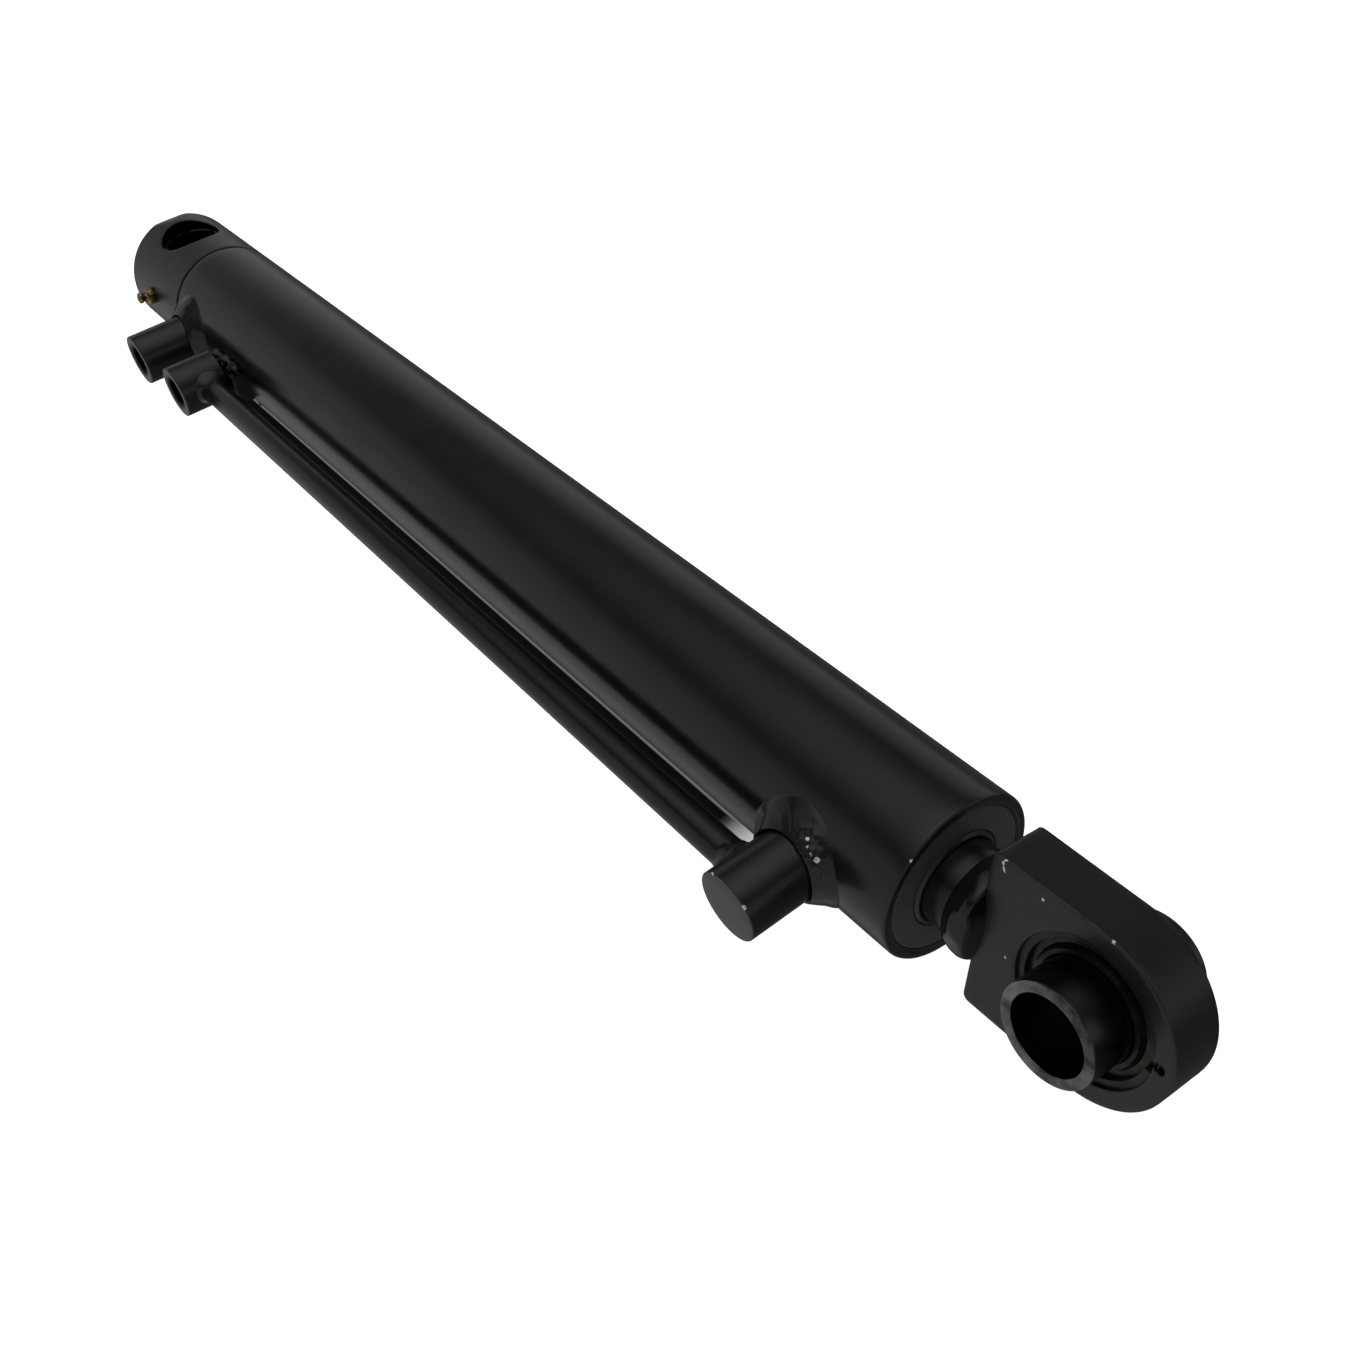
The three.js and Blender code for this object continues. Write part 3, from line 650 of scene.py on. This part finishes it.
def port_boss(node, station, inner, reach, depth):
    """A boss with an internal thread. The thread is one helical groove, so its outline slides along the
    axis as it goes round."""
    start = reach - 2.2
    turns = 8
    thread = [(start - t, PORT_R, 0) for t in np.arange(0.2, turns * THREAD_PITCH, THREAD_PITCH / 9)]
    corners = [(inner, DRILLING_R, 0), (inner, BOSS_R, 0.8), (reach, BOSS_R, 0.9),
               (reach, PORT_MOUTH_R, 0.3), (start, PORT_R - 0.2, 0), *thread,
               (reach - depth, PORT_R, 0), (reach - depth - 3, DRILLING_R, 0)]

    def helix(along, out, angle):
        turn = (start - along) / THREAD_PITCH
        wave = np.abs(2 * ((turn + angle / tau) % 1) - 1)
        fade = np.clip(turn * 1.4, 0, 1) * np.clip((turns - turn) * 1.4, 0, 1)
        on_thread = (np.abs(out - PORT_R) < 0.01) & (along < start) & (along > start - turns * THREAD_PITCH)
        return np.where(on_thread, THREAD_DEPTH * fade * wave, 0)

    return stand_in(node, [lathe(corners, SMALL_SIDES, radial(station), helix)], boss_paint)


def rod_end_boss():
    reach = ROD_END_BOSS_REACH
    corners = [(BARREL_R - 3, 0, 0), (BARREL_R - 3, BOSS_R, 0), (reach, BOSS_R, 0.55), (reach, 6, 0),
               (reach, 0, 0)]
    stand_in("rod_end_boss", [lathe(corners, 128, radial(ROD_END_BOSS_X))], boss_paint)


def saddle(station, turn, out, height):
    """A point at this distance from a boss's axis, and this height over the barrel's surface."""
    z = out * np.sin(turn)
    reach = np.sqrt(np.maximum((BARREL_R + height) ** 2 - z**2, 1))
    return np.stack([station + out * np.cos(turn), -reach, z], -1)


def boss_weld(node, station, seed, material, rise=7.2, leg=9.0, restart=None):
    """A broad, smooth fillet round a boss, with a crevice at the boss and a crisp toe on the barrel.
    Where the weld was started again, restart is the direction of its rougher, higher patch."""
    turn = np.arange(168)[:, None] * tau / 168
    t = np.linspace(0, 1, 30)[None, :]
    sweep = round_ripple(seed, turn, lobes=1.5, octaves=2)
    beads = round_ripple(seed + 1, turn, t * 5, lobes=7, octaves=2)
    out = BOSS_R + 0.5 + (leg - 0.5 + 0.7 * sweep) * t**0.85
    crest = rise + 0.7 * sweep
    height = crest * (1 - t**0.9) ** 1.25 + 0.75 * (1 - t**9) + 0.22 * beads * np.sin(pi * t) ** 0.5
    if restart is not None:
        off = (turn - restart + pi) % tau - pi
        patch_shape = np.exp(-((off / 0.5) ** 2)) * np.exp(-(((t - 0.42) / 0.3) ** 2))
        rough = round_ripple(seed + 2, turn, t * 14, lobes=16, octaves=3)
        height += patch_shape * (1.1 + 0.9 * rough)
    height -= 2.0 * np.exp(-((t / 0.035) ** 2))
    top = saddle(station, turn, out, height)
    ones = np.ones_like(turn)
    toe = saddle(station, turn, (BOSS_R + leg + 0.7 * sweep) * ones, -1.2 * ones)
    foot = saddle(station, turn, (BOSS_R - 0.6) * ones, -1.2 * ones)
    inner = saddle(station, turn, (BOSS_R - 0.6) * ones, (rise - 3.0) * ones)
    grid = np.concatenate([top, toe, foot, inner], 1)
    stand_in(node, [patch(grid)], material, sharp=40)


def blob(centre, size, seed, flatten=(1, 1, 1), sides=20):
    """A drop of weld spatter: an uneven ball."""
    lat = np.linspace(0, pi, sides // 2 + 1)[None, :]
    lon = np.arange(sides)[:, None] * tau / sides
    reach = size * (1 + 0.16 * round_ripple(seed, lon, lat * 2, lobes=1.5, octaves=2) * np.sin(lat))
    ball = np.stack([reach * np.sin(lat) * np.cos(lon), reach * np.sin(lat) * np.sin(lon),
                     reach * np.cos(lat) + 0 * lon], -1)
    return patch(ball * np.array(flatten) + np.array(centre), True, False)


def transfer_tube():
    start, end = ROD_PORT_X + 10.2, ROD_END_BOSS_X - 9.7
    corners = [(start, TUBE_BORE_R, 0), (start, TUBE_R, 0.3), (end, TUBE_R, 0.3), (end, TUBE_BORE_R, 0)]
    place = lambda grid: moved(grid, y=-TUBE_REACH)
    stand_in("transfer_tube", [lathe(corners, SMALL_SIDES, place)], tube_paint)


def tube_weld(node, station, direction, seed, flare=3.4, length=6.5, lumps=0.3):
    """The fillet round the tube at a boss: it flares from the tube on to the boss's round side."""
    turn = np.arange(96)[:, None] * tau / 96
    t = np.linspace(0, 1, 18)[None, :]
    uneven = round_ripple(seed, turn, t * 3, lobes=3, octaves=2)
    spread = round_ripple(seed + 1, turn, lobes=1.5, octaves=2)
    out = TUBE_R + 0.1 + (flare + 0.5 * spread) * t**1.8 + lumps * uneven * np.sin(pi * t)
    side = out * np.sin(turn)
    boss_face = np.sqrt(np.maximum(BOSS_R**2 - side**2, 1))
    away = (length + 0.8 * spread) * (1 - t) ** 1.5
    along = station + direction * (boss_face - 0.3 + away)
    top = np.stack([along, -TUBE_REACH - out * np.cos(turn), side], -1)
    root_out = (TUBE_R - 0.3) * np.ones_like(turn)
    root_side = root_out * np.sin(turn)
    root = np.stack([station + direction * (np.sqrt(BOSS_R**2 - root_side**2) - 1.5),
                     -TUBE_REACH - root_out * np.cos(turn), root_side], -1)
    tip = top[:, :1].copy()
    tip[..., 1] = -TUBE_REACH - (TUBE_R - 0.3) * np.cos(turn)
    tip[..., 2] = (TUBE_R - 0.3) * np.sin(turn)
    foot = top[:, -1:].copy()
    foot[..., 0] -= direction * 1.5
    grid = np.concatenate([tip, top, foot, root], 1)
    return stand_in(node, [patch(grid)], weld_paint, sharp=45)


def soft_block(low, high, round_by, seed, steps=14, uneven=0.0):
    """A closed block with rounded edges: a sphere's grid pushed out to the block's sides."""
    lat = np.linspace(0, pi, steps * 2 + 1)[None, :]
    lon = np.arange(steps * 4)[:, None] * tau / (steps * 4)
    ball = np.stack([np.sin(lat) * np.cos(lon), np.sin(lat) * np.sin(lon), np.cos(lat) + 0 * lon], -1)
    half = (np.array(high, float) - np.array(low)) / 2
    core = half - round_by
    # The inner box's own surface point in that direction, and then the rounding on top of it.
    on_box = ball / np.maximum(np.abs(ball).max(-1, keepdims=True), 1e-9)
    corner = np.clip(on_box * 1.35, -1, 1)
    normal = corner * np.abs(corner) ** 3
    normal /= np.linalg.norm(normal, axis=-1, keepdims=True)
    bulge = round_by * (1 + uneven * ripple(seed, *(np.moveaxis(corner * 3, -1, 0)))[..., None])
    return patch(corner * core + normal * bulge + (np.array(high) + np.array(low)) / 2, True, False)


def rod_port_bracket():
    low, high = (ROD_PORT_X - 14, -ROD_PORT_INNER + 0.2, -14), (ROD_PORT_X + 22, -33.5, 6)
    stand_in("rod_port_bracket", [soft_block(low, high, 1.4, 3)], boss_paint)


def rod_port_bracket_weld():
    """Beads on the bracket's upper edge, and the spatter round it."""
    steps, across_steps = 90, 20
    along = np.linspace(ROD_PORT_X - 13, ROD_PORT_X + 21, steps)[:, None]
    turn = np.arange(across_steps)[None, :] * tau / across_steps
    size = 2.8 + 0.9 * ripple(41, along / 3, octaves=3) + 0.3 * ripple(42, along / 1.2, turn * 2)
    taper = np.sqrt(np.clip(np.sin(pi * (along - along[0]) / (along[-1] - along[0])), 0, 1) + 0.002)
    size = size * np.minimum(1, taper * 1.6)
    bead = np.stack([along + 0 * turn, -39.5 + size * 1.15 * np.cos(turn) + 0.4 * ripple(43, along / 6),
                     8.0 + size * np.sin(turn) + 0.5 * ripple(44, along / 5)], -1)
    spatter = [
        (*on_cylinder(104, -38, -5), 1.5), (*on_cylinder(136, -38, 2), 1.7),
        (*on_cylinder(128, -36, -13), 1.3), (*on_cylinder(144, -34, -17), 1.2),
        (ROD_PORT_X + 3, -44.6, 9.5, 2.0), (ROD_PORT_X + 8.5, -43.6, 8.6, 1.8),
        (ROD_PORT_X + 14, -42.0, 7.6, 2.1), (ROD_PORT_X - 3, -44.8, 10.5, 1.6),
        (ROD_PORT_X + 6, -45.0, 11.5, 1.3), (ROD_PORT_X + 11, -44.0, 10.4, 1.2),
        (ROD_PORT_X + 1, -45.4, 13.2, 1.1), (ROD_PORT_X + 17, -41.0, 9.8, 1.4),
        (ROD_PORT_X + 19, -39.6, 5.2, 1.6),
    ]
    patches = [patch(bead, False, True)]
    patches += [blob((x, y, z), size, i) for i, (x, y, z, size) in enumerate(spatter)]
    stand_in("rod_port_bracket_weld", patches, weld_paint, sharp=50)


# Gland, piston and seals.

def gland():
    bore = GLAND_BORE_R
    groove = lambda a, b, outer: [(b, bore, 0.2), (b, outer, 0.2), (a, outer, 0.2), (a, bore, 0.2)]
    stand_in("gland", [lathe([
        (GLAND_X, GLAND_R, 0.6), (672, GLAND_R, 0.2), (672, 28.2, 0.2), (679.6, 28.2, 0.2),
        (679.6, GLAND_R, 0.2), (GLAND_FLANGE_X + 0.3, GLAND_R, 0.3),
        (GLAND_FLANGE_X + 0.3, GLAND_FLANGE_R, 0.3), (LOCK_GROOVE_FROM, GLAND_FLANGE_R, 0.2),
        (LOCK_GROOVE_FROM, LOCK_GROOVE_INNER, 0.2), (LOCK_GROOVE_TO, LOCK_GROOVE_INNER, 0.2),
        (LOCK_GROOVE_TO, GLAND_FLANGE_R, 0.2), (GLAND_FACE_X, GLAND_FLANGE_R, 0.45),
        (GLAND_FACE_X, WIPER_R, 0.3), (WIPER_X, WIPER_R, 0.2), (WIPER_X, bore, 0.3),
        *groove(681, 688, 24), *groove(667, 677, 21.4), (GLAND_X, bore, 0.6),
    ])], gland_paint_painted_light)


def gland_lock_ring():
    first, last = LOCK_GROOVE_FROM + 0.2, LOCK_GROOVE_TO - 0.2
    inner, outer = LOCK_GROOVE_INNER + SEAL_GAP, LOCK_GROOVE_OUTER - SEAL_GAP
    corners = [(first, inner, 0.25), (first, outer, 0.25), (last, outer, 0.25), (last, inner, 0.25)]
    split("gland_lock_ring", corners, 8, pi, lambda grid: grid)


def split(node, corners, opening, toward, place):
    """A ring with a gap, whose two ends are closed and softly rounded."""
    outline = rounded(corners)
    gap = opening / np.mean(outline[:, 1])
    turn = np.linspace(toward + gap / 2, toward + tau - gap / 2, 200)
    grid = np.stack([np.broadcast_to(outline[:, 0], (len(turn), len(outline))),
                     np.cos(turn)[:, None] * outline[:, 1], np.sin(turn)[:, None] * outline[:, 1]], -1)
    middle = grid.mean(1, keepdims=True)
    start, end = (np.broadcast_to(centre, grid[:1].shape) for centre in (middle[:1], middle[-1:]))
    closed = place(np.concatenate([start, grid, end]))
    stand_in(node, [patch(closed, False, True)], ring_steel)


def rod_wiper():
    runs = ROD_R + 0.15
    stand_in("rod_wiper", [lathe([
        (WIPER_X + 0.3, WIPER_R - 0.3, 0.3), (GLAND_FACE_X, WIPER_R - 0.3, 0.4),
        (WIPER_TIP_X, 20.2, 0.5), (WIPER_TIP_X - 0.6, runs, 0.2), (WIPER_X + 0.3, runs, 0.3),
    ])], wiper_rubber)


def plain_rings():
    """The seals and rings that fill their grooves: node, its two stations, its two radii, material."""
    for node, first, last, inner, outer, material, slot in (
        ("gland_o_ring", 672.3, 677.1, 28.5, 31.45, nitrile, "nitrile"),
        ("gland_backup_ring", 677.4, 679.3, 28.5, 31.45, nylon, "nylon"),
        ("rod_guide_ring", 667.3, 676.7, 19.2, 21.1, nylon, "nylon"),
        ("rod_seal", 681.3, 687.7, 19.2, 23.7, polyurethane, "polyurethane"),
        ("piston_spindle_o_ring", 90.3, 93.7, 14.3, 16.5, nitrile, "nitrile"),
        ("piston_wear_ring_base_end", 75.3, 82.7, 28.9, 31.6, nylon, "nylon"),
        ("piston_wear_ring_rod_end", 101.3, 108.7, 28.9, 31.6, nylon, "nylon"),
        ("piston_seal", 87.3, 96.7, 25.8, 31.6, polyurethane, "polyurethane"),
    ):
        ease = min(last - first, outer - inner) * 0.3
        corners = [(first, inner, ease), (first, outer, ease), (last, outer, ease), (last, inner, ease)]
        stand_in(node, [lathe(corners)], material)


def piston():
    outer, bore = BORE_R - 0.4, SPINDLE_BORE_R
    groove = lambda a, b, inner: [(a, outer, 0.2), (a, inner, 0.2), (b, inner, 0.2), (b, outer, 0.2)]
    stand_in("piston", [lathe([
        (PISTON_X, outer, 1), *groove(75, 83, 28.6), *groove(87, 97, 25.5), *groove(101, 109, 28.6),
        (PISTON_END_X, outer, 1), (PISTON_END_X, bore, 0.5), (94, bore, 0.2), (94, 16.8, 0.2),
        (90, 16.8, 0.2), (90, bore, 0.2), (PISTON_X, bore, 0.5),
    ])], cast_iron)


def piston_rod():
    shoulder = PISTON_END_X + 0.3
    stand_in("piston_rod", [lathe([
        (ROD_START_X, 0, 0), (ROD_START_X, 14, 1), (shoulder, 14, 0.2), (shoulder, ROD_R, 1),
        (ROD_END_X, ROD_R, 1), (ROD_END_X, 0, 0),
    ])], rod_chrome)


def piston_nut():
    def hexagonal(along, out, angle):
        flat = (angle + pi / 6) % (pi / 3) - pi / 6
        return np.where(out > 15, 17.32 / np.cos(flat) - NUT_R, 0)

    stand_in("piston_nut", [lathe([
        (NUT_X, SPINDLE_BORE_R, 0.8), (NUT_X, NUT_R, 0.8), (NUT_END_X, NUT_R, 0.8),
        (NUT_END_X, SPINDLE_BORE_R, 0.8),
    ], 96, wobble=hexagonal)], nut_steel)


# Rod eye.

def eye_outline():
    """The plate's outline in its own plane, as points (x, z) that turn once round the centre."""
    corner = 3.0
    half = [(0, EYE_WIDTH_R)]
    half += [(-x, EYE_WIDTH_R) for x in np.linspace(3, EYE_NECK - corner, 15)]
    half += [(-EYE_NECK + corner - corner * sin(a), EYE_WIDTH_R - corner + corner * cos(a))
             for a in np.linspace(0, pi / 2, 7)[1:]]
    half += [(-EYE_NECK, z) for z in np.linspace(EYE_WIDTH_R - corner, 0, 15)[1:]]
    arc = [(EYE_WIDTH_R * cos(a), EYE_WIDTH_R * sin(a)) for a in np.linspace(0, pi / 2, 49)[1:-1]]
    upper = np.array(arc + half)
    lower = upper[:-1][::-1] * np.array((1, -1))
    return np.concatenate([[(EYE_WIDTH_R, 0)], upper, lower])


def rod_eye_plate():
    outline = eye_outline()
    direction = outline / np.linalg.norm(outline, axis=1)[:, None]
    angle = np.arctan2(outline[:, 1], outline[:, 0])[:, None]
    edge = outline[:, None, :]
    bore = direction[:, None, :] * EYE_BORE_R

    def ring(inward, depth, around=edge):
        flat = around - direction[:, None, :] * np.asarray(inward)[..., None]
        return np.stack([flat[..., 0], np.broadcast_to(depth, flat.shape[:2]), flat[..., 1]], -1)

    def face(side):
        """From the bore to the rim on one face."""
        rings = [ring(0, side * (EYE_HALF - 0.7), bore), ring(-0.25, side * (EYE_HALF - 0.2), bore),
                 ring(-0.8, side * EYE_HALF, bore)]
        for t in np.linspace(0, 1, 9)[1:]:
            blend = bore * (1 - t) + (edge - direction[:, None, :] * 1.2) * t
            rings.append(ring(0, side * EYE_HALF, blend))
        rings += [ring(0.45, side * (EYE_HALF - 0.12)), ring(0.12, side * (EYE_HALF - 0.5))]
        return rings

    # Flame-cut drag lines, which lean across the rim and leave its outline a little faceted.
    depth = np.linspace(-(EYE_HALF - 1.1), EYE_HALF - 1.1, 13)
    arc = angle * EYE_WIDTH_R
    drag = [0.05 * ripple(61, (arc + 0.55 * d) / 2.2, d / 9, octaves=3) for d in depth]
    drag = [d + 0.1 * round_ripple(62, angle, lobes=4, octaves=1) for d in drag]
    rim = [ring(0.12 + np.clip(d, -0.1, 0.4), y) for d, y in zip(drag, depth)]
    groove_r = 31.9 - EYE_BORE_R
    wall = []
    for side in (1, -1):
        steps = [(0, 10.4), (groove_r, 10.4), (groove_r, 8.2), (0, 8.2)]
        wall.append([ring(-cut, side * y, bore) for cut, y in (steps if side > 0 else steps[::-1])])
    grid = np.concatenate(face(-1) + rim + face(1)[::-1] + wall[0] + wall[1], 1)
    plate = stand_in("rod_eye_plate", [patch(in_eye(grid))], plate_paint)
    drill_notch(plate)


def drill_notch(plate):
    """The small blind hole at the edge of the near snap ring's groove."""
    corners = [(EYE_HALF - 6, 0, 0), (EYE_HALF - 5, 2.3, 0), (EYE_HALF - 0.5, 2.3, 0),
               (EYE_HALF + 1, 3.4, 0), (EYE_HALF + 1, 0, 0)]
    hole = lathe(corners, 40, lambda grid: in_eye(moved(across(grid), x=32.4, z=1.7)))
    tool = bpy.data.objects.new("notch_tool", joined_mesh("notch_tool", [hole]))
    bpy.context.scene.collection.objects.link(tool)
    modifier = plate.modifiers.new("notch", "BOOLEAN")
    modifier.operation, modifier.solver, modifier.object = "DIFFERENCE", "EXACT", tool
    cut = bpy.data.meshes.new_from_object(plate.evaluated_get(bpy.context.evaluated_depsgraph_get()))
    plate.modifiers.clear()
    plate.data = cut
    bpy.data.objects.remove(tool)


def rod_eye_weld():
    """Weld between the rod and the plate: a lumpy collar on the rod that laps up to the plate."""
    turn = np.arange(200)[:, None] * tau / 200
    t = np.linspace(0, 1, 34)[None, :]
    neck = -EYE_NECK
    runs = round_ripple(71, turn, t * 2.2, lobes=2.2, octaves=2)
    small = round_ripple(72, turn, t * 6, lobes=6, octaves=2)
    along = neck - 11 + 15.5 * t
    bulge = np.sin(pi * np.clip(t * 1.02, 0, 1)) ** 0.7
    out = ROD_R + 0.1 + bulge * (3.1 + 0.9 * runs + 0.3 * small)
    x, y, z = along + 0 * turn, out * np.cos(turn), out * np.sin(turn)
    # Beyond the plate's edge only what laps on to its faces and stays beside it shows.
    past = np.clip((along - neck) / 4.5, 0, 1)
    lap = 1 - 0.55 * past**1.5
    collar = np.stack([x, y * lap, z * lap], -1)
    bottom = np.stack([np.broadcast_to(along[:, ::-1], x.shape), (ROD_R - 2) * np.cos(turn) * lap[:, ::-1],
                       (ROD_R - 2) * np.sin(turn) * lap[:, ::-1]], -1)
    stand_in("rod_eye_weld", [patch(in_eye(np.concatenate([collar, bottom[:, ::8]], 1)))], weld_paint,
             sharp=50)


def sphere_corners(radius, first, last, steps=14):
    return [(x, sqrt(radius**2 - x * x), 0) for x in np.linspace(first, last, steps)]


def bearing():
    place = lambda grid: in_eye(across(grid))
    stand_in("bearing_outer_race", [lathe([
        *sphere_corners(RACE_SPHERE_R, RACE_HALF, -RACE_HALF), (-RACE_HALF, EYE_BORE_R - 0.3, 0.6),
        (RACE_HALF, EYE_BORE_R - 0.3, 0.6)], SIDES, place)],
        bearing_steel)
    stand_in("bearing_ball", [lathe([
        *sphere_corners(BALL_SPHERE_R, -BALL_HALF, BALL_HALF), (BALL_HALF, SLEEVE_R + 0.3, 0.5),
        (-BALL_HALF, SLEEVE_R + 0.3, 0.5)], SIDES, place)],
        bearing_steel)
    stand_in("bearing_sleeve", [lathe([
        (SLEEVE_HALF, PIN_R, 0.9), (SLEEVE_HALF, SLEEVE_R, 1.6), (29, SLEEVE_R, 0), (-29, SLEEVE_R, 0),
        (-SLEEVE_HALF, SLEEVE_R, 1.6), (-SLEEVE_HALF, PIN_R, 0.9), (-20, PIN_R, 0), (20, PIN_R, 0)],
        SIDES, place)],
        sleeve_steel)
    for side, name in ((1, "near"), (-1, "far")):
        corners = [(side * y, out, 0.25) for y, out in
                   ((8.35, 27.2), (8.35, 31.6), (10.25, 31.6), (10.25, 27.2))]
        split("bearing_snap_ring_" + name, corners, 9, 0, place)


barrel_tube()
base_lug()
base_pin_bush()
base_seam_weld()
grease_nipple()
port_boss("base_port_boss", BASE_PORT_X, BARREL_R - 3, BASE_PORT_REACH, 26)
port_boss("rod_port_boss", ROD_PORT_X, ROD_PORT_INNER, ROD_PORT_REACH, 20)
rod_end_boss()
boss_weld("base_port_weld", BASE_PORT_X, 11, weld_paint)
boss_weld("rod_end_boss_weld", ROD_END_BOSS_X, 23, collar_paint, restart=0.95)
rod_port_bracket()
rod_port_bracket_weld()
transfer_tube()
tube_weld("tube_weld_base_end", ROD_PORT_X, 1, 31, flare=4, length=7, lumps=0.05)
tube_weld("tube_weld_rod_end", ROD_END_BOSS_X, -1, 35, lumps=0.5)
gland()
gland_lock_ring()
rod_wiper()
plain_rings()
piston()
piston_rod()
piston_nut()
rod_eye_plate()
rod_eye_weld()
bearing()


# Studio.

def studio_floor():
    half = 30  # metres
    z = cad_box[0].z
    mesh = bpy.data.meshes.new("studio_floor")
    corners = [(-half, -half, z), (half, -half, z), (half, half, z), (-half, half, z)]
    mesh.from_pydata(corners, [], [(0, 1, 2, 3)])
    s = Shader("studio_floor", Roughness=0.9, Emission_Strength=1.0)
    # The floor glows. A dark patch with soft ends is painted into the glow between the barrel and the
    # tube, and a thin brighter line along it, for the shade and the strip of light that are seen there.
    toward = s.math("MULTIPLY", s.split("Y"), -0.01)
    along = s.math("MULTIPLY", s.math("ADD", s.split("X"), 100.0), 0.001)
    beside = s.ramp(toward, (0.12, 1.0), (0.18, 0.0), (0.222, 0.0), (0.228, 0.15), (0.235, 0.15),
                    (0.242, 0.0), (0.30, 0.0), (0.40, 1.0))
    beyond = s.ramp(along, (0.07, 1.0), (0.11, 0.0), (0.69, 0.0), (0.724, 1.0))
    lit = s.math("MAXIMUM", beside, beyond)
    s.set(Base_Color=s.mix(lit, (0.03, 0.03, 0.03), (0.35, 0.35, 0.35)), Emission_Color=lit)
    mesh.materials.append(s.material)
    floor = bpy.data.objects.new("studio_floor", mesh)
    bpy.context.scene.collection.objects.link(floor)
    floor.visible_glossy = False


def studio_sky():
    """Light from all round: grey near the horizon, a dim band above it and brighter overhead. The lower
    half is what the gloss shows instead of the floor, and it is darker towards +Y."""
    world = bpy.data.worlds.new("studio_sky")
    world.use_nodes = True
    tree = world.node_tree
    place = tree.nodes.new("ShaderNodeTexCoord")
    parts = tree.nodes.new("ShaderNodeSeparateXYZ")
    tree.links.new(place.outputs["Generated"], parts.inputs[0])

    def graded(axis, *stops):
        """Greys by the direction's component along an axis, each stop as (component, grey)."""
        share = tree.nodes.new("ShaderNodeMapRange")
        share.inputs["From Min"].default_value = -1
        tree.links.new(parts.outputs[axis], share.inputs["Value"])
        ramp = tree.nodes.new("ShaderNodeValToRGB")
        while len(ramp.color_ramp.elements) < len(stops):
            ramp.color_ramp.elements.new(0.5)
        for element, (component, grey) in zip(ramp.color_ramp.elements, stops):
            element.position = (component + 1) / 2
            element.color = (grey, grey, grey, 1)
        tree.links.new(share.outputs["Result"], ramp.inputs["Fac"])
        return ramp.outputs["Color"]

    above = graded("Z", (0.0, 0.4), (0.43, 0.32), (0.52, 0.08), (0.62, 0.08), (0.75, 0.26), (1.0, 0.8))
    below = graded("Y", (-0.25, 0.4), (0.05, 0.08))
    blend = tree.nodes.new("ShaderNodeMix")
    blend.data_type = "RGBA"
    sockets = [socket for socket in blend.inputs if socket.type == "RGBA"]
    tree.links.new(graded("Z", (-0.1, 0.0), (0.02, 1.0)), blend.inputs["Factor"])
    tree.links.new(below, sockets[0])
    tree.links.new(above, sockets[1])
    made = next(socket for socket in blend.outputs if socket.type == "RGBA")
    tree.links.new(made, tree.nodes["Background"].inputs["Color"])
    bpy.context.scene.world = world


def softbox(name, at, toward, size, power, glossy=True):
    data = bpy.data.lights.new(name, "AREA")
    data.shape = "RECTANGLE"
    data.size, data.size_y = size
    data.energy = power
    made = bpy.data.objects.new(name, data)
    made.location = at
    made.rotation_mode = "QUATERNION"
    made.rotation_quaternion = (Vector(toward) - Vector(at)).to_track_quat("-Z", "Y")
    made.visible_glossy = glossy
    bpy.context.scene.collection.objects.link(made)


def camera():
    data = bpy.data.cameras.new("camera")
    data.lens = 39.358
    data.sensor_width = 36
    data.clip_start, data.clip_end = 0.01, 100
    made = bpy.data.objects.new("camera", data)
    azimuth, elevation, roll = radians(58.524), radians(42.605), radians(-8.902)
    turn = Matrix.Rotation(azimuth, 4, "Z") @ Matrix.Rotation(pi / 2 - elevation, 4, "X")
    place = Matrix.Translation((0.95399, -0.26348, 0.44974))
    made.matrix_world = place @ turn @ Matrix.Rotation(roll, 4, "Z")
    bpy.context.scene.collection.objects.link(made)
    bpy.context.scene.camera = made


studio_floor()
studio_sky()
softbox("overhead", (0.35, 0.1, 1.6), (0.35, 0, 0), (1.8, 1.4), 14, glossy=False)
camera()
bpy.context.scene.view_settings.view_transform = "Standard"
